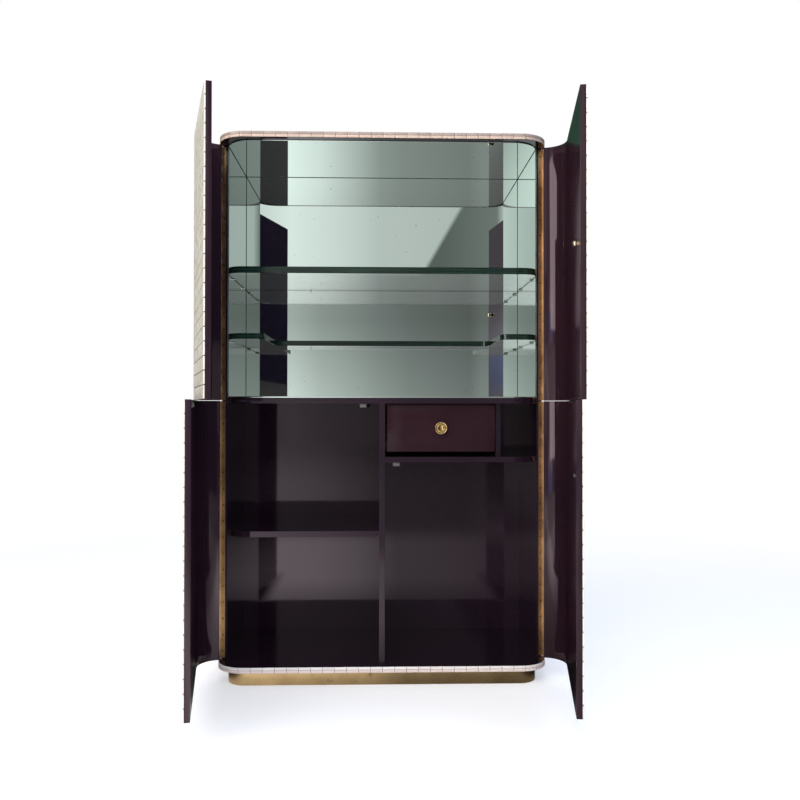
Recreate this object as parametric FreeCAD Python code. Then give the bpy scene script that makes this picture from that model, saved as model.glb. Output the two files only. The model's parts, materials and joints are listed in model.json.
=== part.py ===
import FreeCAD, Part
import math
import os

# Bar cabinet with quarter-round front corners. Each of its four doors wraps round a corner and
# swings on a full-height piano hinge at the front edge of a side panel. The upper room is lined
# with mirror and holds two glass shelves, the lower room holds a divider, a shelf and a drawer.
# Millimetres. +Z is up, the front faces -Y, and the origin is on the floor, under the middle.

VEC = FreeCAD.Vector
ALONG_X = VEC(1, 0, 0)
ALONG_Y = VEC(0, 1, 0)
ALONG_Z = VEC(0, 0, 1)
SIDES = {"left": -1, "right": 1}
LEVELS = ("upper", "lower")

# Outer sizes
CABINET_WIDTH = 1000.0
CABINET_DEPTH = 430.0
CABINET_HEIGHT = 1655.0
PLATE_CORNER_RADIUS = 85.0
HINGE_SETBACK = 90.0
EDGE_ROUNDING = 1.0
CUT_OVERRUN = 5.0
SAME_PLACE = 0.01

# Plinth
PLINTH_HEIGHT = 46.0
PLINTH_SETBACK = 30.0
PLINTH_BACK_SETBACK = 10.0
SKIRT_THICKNESS = 2.0
SKIRT_FLOOR_GAP = 1.0
PLINTH_RAIL = 22.0

# Top and bottom plates, and the mosaic band round their edges
PLATE_THICKNESS = 17.0
EDGE_BAND_THICKNESS = 3.0
TOP_SKIN_THICKNESS = 2.0
PLATE_OVERHANG = 4.0

# Panels and their mosaic skins
SKIN_THICKNESS = 4.0
SIDE_PANEL_THICKNESS = 14.0
BACK_PANEL_THICKNESS = 18.0
MIDDLE_PANEL_THICKNESS = 17.0
LOWER_ROOM_HEIGHT = 782.0

# Inner boards, which come forward to the closed doors
BOARD_SIDE_CLEARANCE = 2.0
BOARD_FRONT_CLEARANCE = 3.0
BOARD_CORNER_RADIUS = 78.0
DIVIDER_THICKNESS = 18.0
DIVIDER_OFFSET = -2.0
LOWER_SHELF_THICKNESS = 18.0
LOWER_SHELF_RISE = 381.0
DRAWER_SHELF_THICKNESS = 16.0
DRAWER_BAY_HEIGHT = 161.0
DRAWER_BAY_WIDTH = 339.5
CHEEK_THICKNESS = 16.0
CHEEK_SETBACK = 44.0

# Drawer
DRAWER_FRONT_SETBACK = 24.0
DRAWER_FRONT_THICKNESS = 18.0
DRAWER_SIDE_REVEAL = 5.0
DRAWER_TOP_REVEAL = 2.0
DRAWER_BOTTOM_REVEAL = 14.5
DRAWER_SIDE_THICKNESS = 12.0
DRAWER_BACK_THICKNESS = 12.0
DRAWER_BOTTOM_THICKNESS = 6.0
DRAWER_BOTTOM_LIFT = 8.0
DRAWER_BOX_LIFT = 8.0
DRAWER_BOX_HEIGHT = 110.0
DRAWER_BACK_CLEARANCE = 12.0
DRAWER_TRAVEL = 250.0

# Drawer runners: a channel on each side of the bay and a bar on each side of the box
RUNNER_GAP = 13.0
RUNNER_HEIGHT = 36.0
RUNNER_WALL = 1.5
RUNNER_BAR_THICKNESS = 9.0
RUNNER_CLEARANCE = 0.5
RUNNER_FRONT_SETBACK = 6.0

# Drawer knob: a head with a rim, a groove, an inner ring and a dished middle, on a stem
KNOB_HEAD_RADIUS = 19.0
KNOB_PROJECTION = 16.0
KNOB_EDGE_THICKNESS = 5.0
KNOB_EDGE_EASE = 1.0
KNOB_RIM_WIDTH = 3.5
KNOB_GROOVE_WIDTH = 4.0
KNOB_GROOVE_DEPTH = 1.5
KNOB_DISH_RADIUS = 8.5
KNOB_DISH_DEPTH = 4.5
KNOB_STEM_RADIUS = 7.0
KNOB_STEM_LENGTH = 7.0

# Doors
DOOR_CORE_THICKNESS = 15.0
DOOR_MEETING_GAP = 3.0
DOOR_END_GAP = 2.0
DOOR_SPLIT_GAP = 1.5
DOOR_OPEN_ANGLE = {
    "upper_left": 73.8,
    "upper_right": 81.0,
    "lower_left": 79.2,
    "lower_right": 79.8,
}
DOOR_WIDEST_ANGLE = 165.0
STUDLESS_DOOR = "upper_left"

# Piano hinges
PIN_RADIUS = 1.0
PIN_CLEARANCE = 0.05
BARREL_RADIUS = 2.1
PIN_OUTSET = 1.7
LEAF_THICKNESS = 1.2
LEAF_WIDTH = 12.0
LEAVES_GAP = 0.8
LEAF_END_SETBACK = 1.0
KNUCKLE_PITCH = 20.0
KNUCKLE_GAP = 0.3
KNUCKLE_CLEARANCE = 0.3
SCREW_PITCH = 50.0
SCREW_END_MARGIN = 20.0
SCREW_RADIUS = 1.4
SCREW_HEAD_RADIUS = 2.6
SCREW_LENGTH = 14.0
SCREW_HOLE_CLEARANCE = 0.15

# Mirror lining and glass shelves
MIRROR_THICKNESS = 4.0
CEILING_MIRROR_THICKNESS = 3.0
SHELF_SIDE_CLEARANCE = 1.0
SHELF_BACK_CLEARANCE = 1.0
SHELF_CORNER_RADIUS = 45.0
GLASS_ARRIS = 0.8
UPPER_GLASS_THICKNESS = 20.0
UPPER_GLASS_RISE = 372.5
LOWER_GLASS_THICKNESS = 17.0
LOWER_GLASS_RISE = 173.5
LOWER_GLASS_WING = 115.0
LOWER_GLASS_STRIP = 100.0
LOWER_GLASS_INNER_RADIUS = 25.0
SHELF_PIN_RADIUS = 2.5
SHELF_PIN_REACH = 7.0
SHELF_PIN_DEPTH = 8.0
SHELF_PIN_CLEARANCE = 0.2
SHELF_PIN_SEAT_GAP = 0.1
SHELF_PIN_FRONT_INSET = 60.0
SHELF_PIN_BACK_INSET = 60.0
SHELF_BACK_PIN_OFFSET = 250.0

# Door catches under the boards, and the strikes and stops on the doors
CATCH_WIDTH = 36.0
CATCH_HEIGHT = 12.0
CATCH_DEPTH = 22.0
CATCH_MOUTH_GAP = 0.5
CATCH_BACK_GAP = 5.0
LEFT_CATCH_OFFSET = 59.0
RIGHT_CATCH_OFFSET = 41.0
STRIKE_RADIUS = 7.0
STRIKE_THICKNESS = 2.5
STRIKE_BOSS_RADIUS = 4.5
STRIKE_BOSS_LENGTH = 2.0
STOP_FLANGE_RADIUS = 7.5
STOP_FLANGE_THICKNESS = 6.0
STOP_STEM_RADIUS = 4.7
STOP_STEM_LENGTH = 9.0
STOP_OFFSET = 40.0
STOP_REST_GAP = 0.5

# Places worked out from the sizes above
HALF_WIDTH = CABINET_WIDTH / 2
FRONT_Y = -CABINET_DEPTH / 2
BACK_Y = CABINET_DEPTH / 2
HINGE_Y = FRONT_Y + HINGE_SETBACK
EDGE_SETBACK = LEAVES_GAP / 2 + LEAF_THICKNESS
PANEL_FRONT_Y = HINGE_Y + EDGE_SETBACK
SKIN_X = HALF_WIDTH - PLATE_OVERHANG
PANEL_OUTER_X = SKIN_X - SKIN_THICKNESS
PANEL_INNER_X = PANEL_OUTER_X - SIDE_PANEL_THICKNESS
MIRROR_X = PANEL_INNER_X - MIRROR_THICKNESS
PIN_X = SKIN_X + PIN_OUTSET
BACK_PANEL_Y = BACK_Y - BACK_PANEL_THICKNESS
MIRROR_Y = BACK_PANEL_Y - MIRROR_THICKNESS

DOOR_THICKNESS = DOOR_CORE_THICKNESS + SKIN_THICKNESS
DOOR_FRONT_Y = FRONT_Y + PLATE_OVERHANG
DOOR_INNER_Y = DOOR_FRONT_Y + DOOR_THICKNESS
DOOR_REAR_Y = HINGE_Y - EDGE_SETBACK
DOOR_CORNER_RADIUS = PLATE_CORNER_RADIUS - PLATE_OVERHANG
DOOR_FREE_X = DOOR_MEETING_GAP / 2
BOARD_NOSE_X = SKIN_X - DOOR_THICKNESS - BOARD_SIDE_CLEARANCE
BOARD_FRONT_Y = DOOR_INNER_Y + BOARD_FRONT_CLEARANCE

FLOOR_Z = PLINTH_HEIGHT + PLATE_THICKNESS
TOP_PLATE_Z = CABINET_HEIGHT - PLATE_THICKNESS
MIDDLE_Z = FLOOR_Z + LOWER_ROOM_HEIGHT
MIDDLE_TOP_Z = MIDDLE_Z + MIDDLE_PANEL_THICKNESS
SPLIT_Z = MIDDLE_Z + MIDDLE_PANEL_THICKNESS / 2
BAR_CEILING_Z = TOP_PLATE_Z - CEILING_MIRROR_THICKNESS
BAR_FLOOR_Z = MIDDLE_TOP_Z + MIRROR_THICKNESS
DIVIDER_LEFT_X = DIVIDER_OFFSET - DIVIDER_THICKNESS / 2
DIVIDER_RIGHT_X = DIVIDER_OFFSET + DIVIDER_THICKNESS / 2
LOWER_SHELF_Z = FLOOR_Z + LOWER_SHELF_RISE
DRAWER_SHELF_TOP_Z = MIDDLE_Z - DRAWER_BAY_HEIGHT
DRAWER_SHELF_Z = DRAWER_SHELF_TOP_Z - DRAWER_SHELF_THICKNESS
CHEEK_X = DIVIDER_RIGHT_X + DRAWER_BAY_WIDTH
CHEEK_FRONT_Y = BOARD_FRONT_Y + CHEEK_SETBACK

DRAWER_FRONT_Y = BOARD_FRONT_Y + DRAWER_FRONT_SETBACK
DRAWER_BOX_Y = DRAWER_FRONT_Y + DRAWER_FRONT_THICKNESS
DRAWER_BOX_BACK_Y = BACK_PANEL_Y - DRAWER_BACK_CLEARANCE
DRAWER_FRONT_LEFT_X = DIVIDER_RIGHT_X + DRAWER_SIDE_REVEAL
DRAWER_FRONT_RIGHT_X = CHEEK_X - DRAWER_SIDE_REVEAL
DRAWER_FRONT_Z = DRAWER_SHELF_TOP_Z + DRAWER_BOTTOM_REVEAL
DRAWER_FRONT_TOP_Z = MIDDLE_Z - DRAWER_TOP_REVEAL
DRAWER_BOX_LEFT_X = DIVIDER_RIGHT_X + RUNNER_GAP
DRAWER_BOX_RIGHT_X = CHEEK_X - RUNNER_GAP
DRAWER_BOX_Z = DRAWER_FRONT_Z + DRAWER_BOX_LIFT
RUNNER_Z = DRAWER_BOX_Z + (DRAWER_BOX_HEIGHT - RUNNER_HEIGHT) / 2
RUNNER_FRONT_Y = DRAWER_BOX_Y + RUNNER_FRONT_SETBACK
KNOB_X = (DRAWER_FRONT_LEFT_X + DRAWER_FRONT_RIGHT_X) / 2
KNOB_Z = (DRAWER_FRONT_Z + DRAWER_FRONT_TOP_Z) / 2

STOP_LENGTH = STOP_FLANGE_THICKNESS + STOP_STEM_LENGTH
GLASS_FRONT_Y = DOOR_INNER_Y + STOP_LENGTH + STOP_REST_GAP
GLASS_BACK_Y = MIRROR_Y - SHELF_BACK_CLEARANCE
GLASS_HALF_WIDTH = MIRROR_X - SHELF_SIDE_CLEARANCE
UPPER_GLASS_Z = BAR_FLOOR_Z + UPPER_GLASS_RISE
LOWER_GLASS_Z = BAR_FLOOR_Z + LOWER_GLASS_RISE
STRIKE_REACH = STRIKE_THICKNESS + STRIKE_BOSS_LENGTH
CATCH_FRONT_Y = DOOR_INNER_Y + STRIKE_REACH + CATCH_MOUTH_GAP

DOOR_SPAN = {
    "upper": (SPLIT_Z + DOOR_SPLIT_GAP / 2, TOP_PLATE_Z - DOOR_END_GAP),
    "lower": (FLOOR_Z + DOOR_END_GAP, SPLIT_Z - DOOR_SPLIT_GAP / 2),
}


def block(x0, x1, y0, y1, z0, z1):
    """A rectangular block between two corners."""
    return Part.makeBox(x1 - x0, y1 - y0, z1 - z0, VEC(x0, y0, z0))


def corner_arc(centre_x, centre_y, radius, start_angle):
    """A quarter arc in plan that runs anticlockwise from start_angle, in degrees."""
    quarter = math.pi / 2
    start = math.radians(start_angle)
    points = []
    for angle in (start, start + quarter / 2, start + quarter):
        points.append(VEC(centre_x + radius * math.cos(angle), centre_y + radius * math.sin(angle), 0))
    return Part.Arc(*points).toShape()


def line(x0, y0, x1, y1):
    """A straight edge in plan."""
    return Part.LineSegment(VEC(x0, y0, 0), VEC(x1, y1, 0)).toShape()


def extruded(edges, z0, z1):
    """The solid between two heights over a closed plan outline."""
    face = Part.Face(Part.Wire(Part.__sortEdges__(edges)))
    face.translate(VEC(0, 0, z0))
    return face.extrude(VEC(0, 0, z1 - z0))


def front_rounded_slab(x0, x1, y0, y1, z0, z1, left_radius, right_radius):
    """A slab whose two front corners may be rounded; a radius of zero leaves a corner square."""
    edges = [
        line(x1, y0 + right_radius, x1, y1),
        line(x1, y1, x0, y1),
        line(x0, y1, x0, y0 + left_radius),
        line(x0 + left_radius, y0, x1 - right_radius, y0),
    ]
    if left_radius:
        edges.append(corner_arc(x0 + left_radius, y0 + left_radius, left_radius, 180))
    if right_radius:
        edges.append(corner_arc(x1 - right_radius, y0 + right_radius, right_radius, 270))
    return extruded(edges, z0, z1)


def plate_outline(inset, z0, z1, back_inset=0.0):
    """The plate's plan shape, drawn in by inset at the front and the sides."""
    half = HALF_WIDTH - inset
    radius = PLATE_CORNER_RADIUS - inset
    return front_rounded_slab(-half, half, FRONT_Y + inset, BACK_Y - back_inset, z0, z1, radius, radius)


def lies_on(value, target):
    """Whether a coordinate is at the target."""
    return abs(value - target) < SAME_PLACE


def front_rim(shape, limit_y, heights):
    """Level edges of a board that lie in front of limit_y at one of the heights."""
    rim = []
    for edge in shape.Edges:
        box = edge.BoundBox
        level = any(lies_on(box.ZMin, z) and lies_on(box.ZMax, z) for z in heights)
        if level and box.YMin < limit_y - SAME_PLACE and box.YMax < limit_y + SAME_PLACE:
            rim.append(edge)
    return rim


def upright_rim(shape, y, *x_places):
    """Upright edges of a panel that lie at y and at one of the places along X."""
    rim = []
    for edge in shape.Edges:
        box = edge.BoundBox
        at_y = lies_on(box.YMin, y) and lies_on(box.YMax, y)
        if at_y and any(lies_on(box.XMin, x) and lies_on(box.XMax, x) for x in x_places):
            rim.append(edge)
    return rim


def forward_board(x0, x1, z0, z1, back_y):
    """A level board that fills the room behind the hinge line and comes forward inside the doors."""
    left_outer = x0 <= -PANEL_INNER_X
    right_outer = x1 >= PANEL_INNER_X
    nose_x0 = -BOARD_NOSE_X if left_outer else x0
    nose_x1 = BOARD_NOSE_X if right_outer else x1
    left_radius = BOARD_CORNER_RADIUS if left_outer else 0.0
    right_radius = BOARD_CORNER_RADIUS if right_outer else 0.0
    nose = front_rounded_slab(
        nose_x0, nose_x1, BOARD_FRONT_Y, back_y, z0, z1, left_radius, right_radius
    )
    board = nose.fuse(block(x0, x1, PANEL_FRONT_Y, back_y, z0, z1)).removeSplitter()
    thickness = z1 - z0
    if thickness <= 2 * EDGE_ROUNDING:
        return board
    return board.makeFillet(EDGE_ROUNDING, front_rim(board, PANEL_FRONT_Y, (z0, z1)))


def mirrored(shape):
    """The same shape on the other side of the cabinet."""
    return shape.mirror(VEC(0, 0, 0), ALONG_X)


def on_side(shape, side):
    """A shape drawn for the right side, placed on the named side."""
    return mirrored(shape) if side == "left" else shape


def plinth_parts():
    """Wooden plinth rails, each its own piece, and the brass skirt in front of them."""
    core_inset = PLINTH_SETBACK + SKIRT_THICKNESS
    core = plate_outline(core_inset, 0, PLINTH_HEIGHT, PLINTH_BACK_SETBACK)
    inner = plate_outline(core_inset + PLINTH_RAIL, 0, PLINTH_HEIGHT, PLINTH_BACK_SETBACK + PLINTH_RAIL)
    ring = core.cut(inner)
    corner_y = FRONT_Y + PLATE_CORNER_RADIUS
    back_y = BACK_Y - PLINTH_BACK_SETBACK
    back_rail_y = back_y - PLINTH_RAIL
    side_x = HALF_WIDTH - core_inset
    side_inner_x = side_x - PLINTH_RAIL
    front = ring.common(block(-HALF_WIDTH, HALF_WIDTH, FRONT_Y, corner_y, 0, PLINTH_HEIGHT))
    rails = [front]
    for sign in SIDES.values():
        x0, x1 = sorted((sign * side_inner_x, sign * side_x))
        rails.append(block(x0, x1, corner_y, back_rail_y, 0, PLINTH_HEIGHT))
    rails.append(block(-side_x, side_x, back_rail_y, back_y, 0, PLINTH_HEIGHT))
    centre_front_y = FRONT_Y + core_inset + PLINTH_RAIL
    half_rail = PLINTH_RAIL / 2
    rails.append(block(-half_rail, half_rail, centre_front_y, back_rail_y, 0, PLINTH_HEIGHT))
    skirt = plate_outline(PLINTH_SETBACK, SKIRT_FLOOR_GAP, PLINTH_HEIGHT, PLINTH_BACK_SETBACK)
    skirt = skirt.cut(plate_outline(core_inset, 0, PLINTH_HEIGHT, 0))
    return {"plinth_frame": Part.makeCompound(rails), "plinth_skirt": skirt}


def edge_band(z0, z1):
    """The mosaic band round the front and the sides of a plate."""
    outer = plate_outline(0.0, z0, z1)
    return outer.cut(plate_outline(EDGE_BAND_THICKNESS, z0, z1))


def plate_parts():
    """Bottom and top plates with their edge bands and the skin on the top."""
    top_skin_z = CABINET_HEIGHT - TOP_SKIN_THICKNESS
    return {
        "bottom_panel": plate_outline(EDGE_BAND_THICKNESS, PLINTH_HEIGHT, FLOOR_Z),
        "bottom_edge_band": edge_band(PLINTH_HEIGHT, FLOOR_Z),
        "top_panel": plate_outline(EDGE_BAND_THICKNESS, TOP_PLATE_Z, top_skin_z),
        "top_edge_band": edge_band(TOP_PLATE_Z, CABINET_HEIGHT),
        "top_skin": plate_outline(EDGE_BAND_THICKNESS, top_skin_z, CABINET_HEIGHT),
    }


def shelf_pin_places():
    """Each glass shelf pin as its mouth on the mirror and the way it points into the room."""
    places = []
    front_y = PANEL_FRONT_Y + SHELF_PIN_FRONT_INSET
    back_y = MIRROR_Y - SHELF_PIN_BACK_INSET
    for shelf_z in (UPPER_GLASS_Z, LOWER_GLASS_Z):
        pin_z = shelf_z - SHELF_PIN_RADIUS - SHELF_PIN_SEAT_GAP
        for sign in SIDES.values():
            for y in (front_y, back_y):
                places.append((VEC(sign * MIRROR_X, y, pin_z), VEC(-sign, 0, 0)))
            places.append((VEC(sign * SHELF_BACK_PIN_OFFSET, MIRROR_Y, pin_z), VEC(0, -1, 0)))
    return places


def shelf_pin(radius, depth, mouth, way):
    """A pin that stands SHELF_PIN_REACH out of the mirror and goes depth into what is behind it."""
    start = mouth - way * depth
    return Part.makeCylinder(radius, depth + SHELF_PIN_REACH, start, way)


def side_panel_parts():
    """Side panels, and the mosaic skin on the outside of each."""
    panel = block(PANEL_INNER_X, PANEL_OUTER_X, PANEL_FRONT_Y, BACK_Y, FLOOR_Z, TOP_PLATE_Z)
    skin = block(PANEL_OUTER_X, SKIN_X, PANEL_FRONT_Y, BACK_Y, FLOOR_Z, TOP_PLATE_Z)
    parts = {}
    for side in SIDES:
        parts[side + "_side_panel"] = on_side(panel, side)
        parts[side + "_side_skin"] = on_side(skin, side)
    return parts


def board_parts():
    """Back, middle and lower boards."""
    inner = PANEL_INNER_X
    divider = block(DIVIDER_LEFT_X, DIVIDER_RIGHT_X, BOARD_FRONT_Y, BACK_PANEL_Y, FLOOR_Z, MIDDLE_Z)
    divider_rim = upright_rim(divider, BOARD_FRONT_Y, DIVIDER_LEFT_X, DIVIDER_RIGHT_X)
    cheek_x1 = CHEEK_X + CHEEK_THICKNESS
    cheek = block(CHEEK_X, cheek_x1, CHEEK_FRONT_Y, BACK_PANEL_Y, DRAWER_SHELF_TOP_Z, MIDDLE_Z)
    cheek_rim = upright_rim(cheek, CHEEK_FRONT_Y, CHEEK_X, cheek_x1)
    return {
        "back_panel": block(-inner, inner, BACK_PANEL_Y, BACK_Y, FLOOR_Z, TOP_PLATE_Z),
        "middle_panel": forward_board(-inner, inner, MIDDLE_Z, MIDDLE_TOP_Z, BACK_PANEL_Y),
        "lower_divider": divider.makeFillet(EDGE_ROUNDING, divider_rim),
        "lower_shelf": forward_board(
            -inner, DIVIDER_LEFT_X, LOWER_SHELF_Z, LOWER_SHELF_Z + LOWER_SHELF_THICKNESS, BACK_PANEL_Y
        ),
        "drawer_shelf": forward_board(
            DIVIDER_RIGHT_X, inner, DRAWER_SHELF_Z, DRAWER_SHELF_TOP_Z, BACK_PANEL_Y
        ),
        "drawer_cheek": cheek.makeFillet(EDGE_ROUNDING, cheek_rim),
    }


def mirror_parts():
    """Mirror lining of the upper room, drilled where the shelf pins pass."""
    inner = PANEL_INNER_X
    side = block(MIRROR_X, inner, PANEL_FRONT_Y, BACK_PANEL_Y, BAR_FLOOR_Z, BAR_CEILING_Z)
    parts = {
        "back_mirror": block(-MIRROR_X, MIRROR_X, MIRROR_Y, BACK_PANEL_Y, BAR_FLOOR_Z, BAR_CEILING_Z),
        "left_mirror": mirrored(side),
        "right_mirror": side,
        "ceiling_mirror": forward_board(-inner, inner, BAR_CEILING_Z, TOP_PLATE_Z, BACK_PANEL_Y),
        "floor_mirror": forward_board(-inner, inner, MIDDLE_TOP_Z, BAR_FLOOR_Z, BACK_PANEL_Y),
    }
    hole_radius = SHELF_PIN_RADIUS + SHELF_PIN_CLEARANCE
    for name in ("back_mirror", "left_mirror", "right_mirror"):
        for mouth, way in shelf_pin_places():
            hole = shelf_pin(hole_radius, MIRROR_THICKNESS + CUT_OVERRUN, mouth, way)
            if hole.BoundBox.intersect(parts[name].BoundBox):
                parts[name] = parts[name].cut(hole)
    return parts


def lower_glass_shelf():
    """The lower glass shelf, cut away in front so that tall bottles stand before its back strip."""
    top_z = LOWER_GLASS_Z + LOWER_GLASS_THICKNESS
    half = GLASS_HALF_WIDTH
    corner = SHELF_CORNER_RADIUS
    shelf = front_rounded_slab(
        -half, half, GLASS_FRONT_Y, GLASS_BACK_Y, LOWER_GLASS_Z, top_z, corner, corner
    )
    recess_x = half - LOWER_GLASS_WING
    recess_y = GLASS_BACK_Y - LOWER_GLASS_STRIP
    radius = LOWER_GLASS_INNER_RADIUS
    front_y = GLASS_FRONT_Y - CUT_OVERRUN
    mouth_y = GLASS_FRONT_Y + radius
    mouth_x = recess_x + radius
    edges = [
        line(-mouth_x, front_y, mouth_x, front_y),
        line(mouth_x, front_y, mouth_x, GLASS_FRONT_Y),
        line(recess_x, mouth_y, recess_x, recess_y - radius),
        corner_arc(recess_x - radius, recess_y - radius, radius, 0),
        line(recess_x - radius, recess_y, -recess_x + radius, recess_y),
        corner_arc(-recess_x + radius, recess_y - radius, radius, 90),
        line(-recess_x, recess_y - radius, -recess_x, mouth_y),
        line(-mouth_x, GLASS_FRONT_Y, -mouth_x, front_y),
        corner_arc(mouth_x, mouth_y, radius, 180),
        corner_arc(-mouth_x, mouth_y, radius, 270),
    ]
    shelf = shelf.cut(extruded(edges, LOWER_GLASS_Z, top_z))
    rim = front_rim(shelf, recess_y, (LOWER_GLASS_Z, top_z))
    rim = [edge for edge in rim if not lies_on(abs(edge.CenterOfMass.x), half)]
    return shelf.makeChamfer(GLASS_ARRIS, rim)


def glass_parts():
    """Glass shelves and the brass pins that carry them."""
    half = GLASS_HALF_WIDTH
    radius = SHELF_CORNER_RADIUS
    top_z = UPPER_GLASS_Z + UPPER_GLASS_THICKNESS
    upper = front_rounded_slab(
        -half, half, GLASS_FRONT_Y, GLASS_BACK_Y, UPPER_GLASS_Z, top_z, radius, radius
    )
    rim = front_rim(upper, GLASS_FRONT_Y + radius, (UPPER_GLASS_Z, top_z))
    upper = upper.makeChamfer(GLASS_ARRIS, rim)
    pin_depth = MIRROR_THICKNESS + SHELF_PIN_DEPTH
    pins = [shelf_pin(SHELF_PIN_RADIUS, pin_depth, mouth, way) for mouth, way in shelf_pin_places()]
    return {
        "upper_glass_shelf": upper,
        "lower_glass_shelf": lower_glass_shelf(),
        "glass_shelf_pins": Part.makeCompound(pins),
    }


def runner_channel(wall_x, facing):
    """A runner channel on the bay's side; facing is the way its mouth points along X."""
    base_x = wall_x + facing * RUNNER_WALL
    mouth_x = wall_x + facing * (RUNNER_GAP - RUNNER_CLEARANCE)
    top_z = RUNNER_Z + RUNNER_HEIGHT
    x0, x1 = sorted((wall_x, mouth_x))
    whole = block(x0, x1, RUNNER_FRONT_Y, DRAWER_BOX_BACK_Y, RUNNER_Z, top_z)
    slot_x = mouth_x + facing * CUT_OVERRUN
    x0, x1 = sorted((base_x, slot_x))
    slot = block(
        x0,
        x1,
        RUNNER_FRONT_Y - CUT_OVERRUN,
        DRAWER_BOX_BACK_Y + CUT_OVERRUN,
        RUNNER_Z + RUNNER_WALL,
        top_z - RUNNER_WALL,
    )
    return whole.cut(slot)


def runner_bar(box_x, facing):
    """A runner bar on the side of the drawer box; facing is the way it stands out along X."""
    x0, x1 = sorted((box_x, box_x + facing * RUNNER_BAR_THICKNESS))
    lift = RUNNER_WALL + RUNNER_CLEARANCE
    return block(
        x0, x1, RUNNER_FRONT_Y, DRAWER_BOX_BACK_Y, RUNNER_Z + lift, RUNNER_Z + RUNNER_HEIGHT - lift
    )


def drawer_knob():
    """Turned brass knob: a stem, and a head with a rim, a groove, a ring and a dished middle."""
    front_y = KNOB_PROJECTION
    rim_x = KNOB_HEAD_RADIUS - KNOB_RIM_WIDTH
    groove_x = rim_x - KNOB_GROOVE_WIDTH
    groove_y = front_y - KNOB_GROOVE_DEPTH
    outline = [
        (0, 0),
        (KNOB_STEM_RADIUS, 0),
        (KNOB_STEM_RADIUS, KNOB_STEM_LENGTH),
        (KNOB_HEAD_RADIUS, front_y - KNOB_EDGE_THICKNESS),
        (KNOB_HEAD_RADIUS, front_y - KNOB_EDGE_EASE),
        (KNOB_HEAD_RADIUS - KNOB_EDGE_EASE, front_y),
        (rim_x, front_y),
        (rim_x, groove_y),
        (groove_x, groove_y),
        (groove_x, front_y),
        (KNOB_DISH_RADIUS, front_y),
    ]
    points = [VEC(x, y, 0) for x, y in outline]
    edges = [Part.LineSegment(a, b).toShape() for a, b in zip(points, points[1:])]
    sphere = (KNOB_DISH_RADIUS**2 + KNOB_DISH_DEPTH**2) / (2 * KNOB_DISH_DEPTH)
    half_angle = math.asin(KNOB_DISH_RADIUS / sphere) / 2
    centre_y = front_y - KNOB_DISH_DEPTH + sphere
    dish_mid = VEC(sphere * math.sin(half_angle), centre_y - sphere * math.cos(half_angle), 0)
    bottom = VEC(0, front_y - KNOB_DISH_DEPTH, 0)
    edges.append(Part.Arc(points[-1], dish_mid, bottom).toShape())
    edges.append(Part.LineSegment(bottom, points[0]).toShape())
    turned = Part.Face(Part.Wire(edges)).revolve(VEC(0, 0, 0), ALONG_Y, 360)
    turned.rotate(VEC(0, 0, 0), ALONG_Z, 180)
    turned.translate(VEC(KNOB_X, DRAWER_FRONT_Y, KNOB_Z))
    return turned


def drawer_front():
    """The drawer's front board, with its outer edges eased."""
    board = block(
        DRAWER_FRONT_LEFT_X,
        DRAWER_FRONT_RIGHT_X,
        DRAWER_FRONT_Y,
        DRAWER_BOX_Y,
        DRAWER_FRONT_Z,
        DRAWER_FRONT_TOP_Z,
    )
    rim = [edge for edge in board.Edges if lies_on(edge.BoundBox.YMax, DRAWER_FRONT_Y)]
    return board.makeFillet(EDGE_ROUNDING, rim)


def drawer_parts():
    """Drawer box, its front and knob, and the runners on both sides of it."""
    side_width = DRAWER_SIDE_THICKNESS
    box_top = DRAWER_BOX_Z + DRAWER_BOX_HEIGHT
    inner_left = DRAWER_BOX_LEFT_X + side_width
    inner_right = DRAWER_BOX_RIGHT_X - side_width
    back_front_y = DRAWER_BOX_BACK_Y - DRAWER_BACK_THICKNESS
    bottom_z = DRAWER_BOX_Z + DRAWER_BOTTOM_LIFT
    sides = [
        block(DRAWER_BOX_LEFT_X, inner_left, DRAWER_BOX_Y, DRAWER_BOX_BACK_Y, DRAWER_BOX_Z, box_top),
        block(inner_right, DRAWER_BOX_RIGHT_X, DRAWER_BOX_Y, DRAWER_BOX_BACK_Y, DRAWER_BOX_Z, box_top),
    ]
    channels = [runner_channel(DIVIDER_RIGHT_X, 1), runner_channel(CHEEK_X, -1)]
    bars = [runner_bar(DRAWER_BOX_LEFT_X, -1), runner_bar(DRAWER_BOX_RIGHT_X, 1)]
    return {
        "drawer_runners": Part.makeCompound(channels),
        "drawer_slides": Part.makeCompound(bars),
        "drawer_front": drawer_front(),
        "drawer_sides": Part.makeCompound(sides),
        "drawer_back": block(
            inner_left, inner_right, back_front_y, DRAWER_BOX_BACK_Y, DRAWER_BOX_Z, box_top
        ),
        "drawer_bottom": block(
            inner_left,
            inner_right,
            DRAWER_BOX_Y,
            back_front_y,
            bottom_z,
            bottom_z + DRAWER_BOTTOM_THICKNESS,
        ),
        "drawer_knob": drawer_knob(),
    }


def door_layer(outer_offset, inner_offset, z0, z1):
    """A layer of a right-hand door, closed, between two depths below its outer surface."""
    centre_x = SKIN_X - DOOR_CORNER_RADIUS
    centre_y = DOOR_FRONT_Y + DOOR_CORNER_RADIUS
    edges = []
    for offset in (outer_offset, inner_offset):
        x = SKIN_X - offset
        y = DOOR_FRONT_Y + offset
        radius = DOOR_CORNER_RADIUS - offset
        edges.append(line(x, DOOR_REAR_Y, x, centre_y))
        edges.append(corner_arc(centre_x, centre_y, radius, 270))
        edges.append(line(centre_x, y, DOOR_FREE_X, y))
    edges.append(line(SKIN_X - outer_offset, DOOR_REAR_Y, SKIN_X - inner_offset, DOOR_REAR_Y))
    free_y0 = DOOR_FRONT_Y + outer_offset
    free_y1 = DOOR_FRONT_Y + inner_offset
    edges.append(line(DOOR_FREE_X, free_y0, DOOR_FREE_X, free_y1))
    return extruded(edges, z0, z1)


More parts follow.
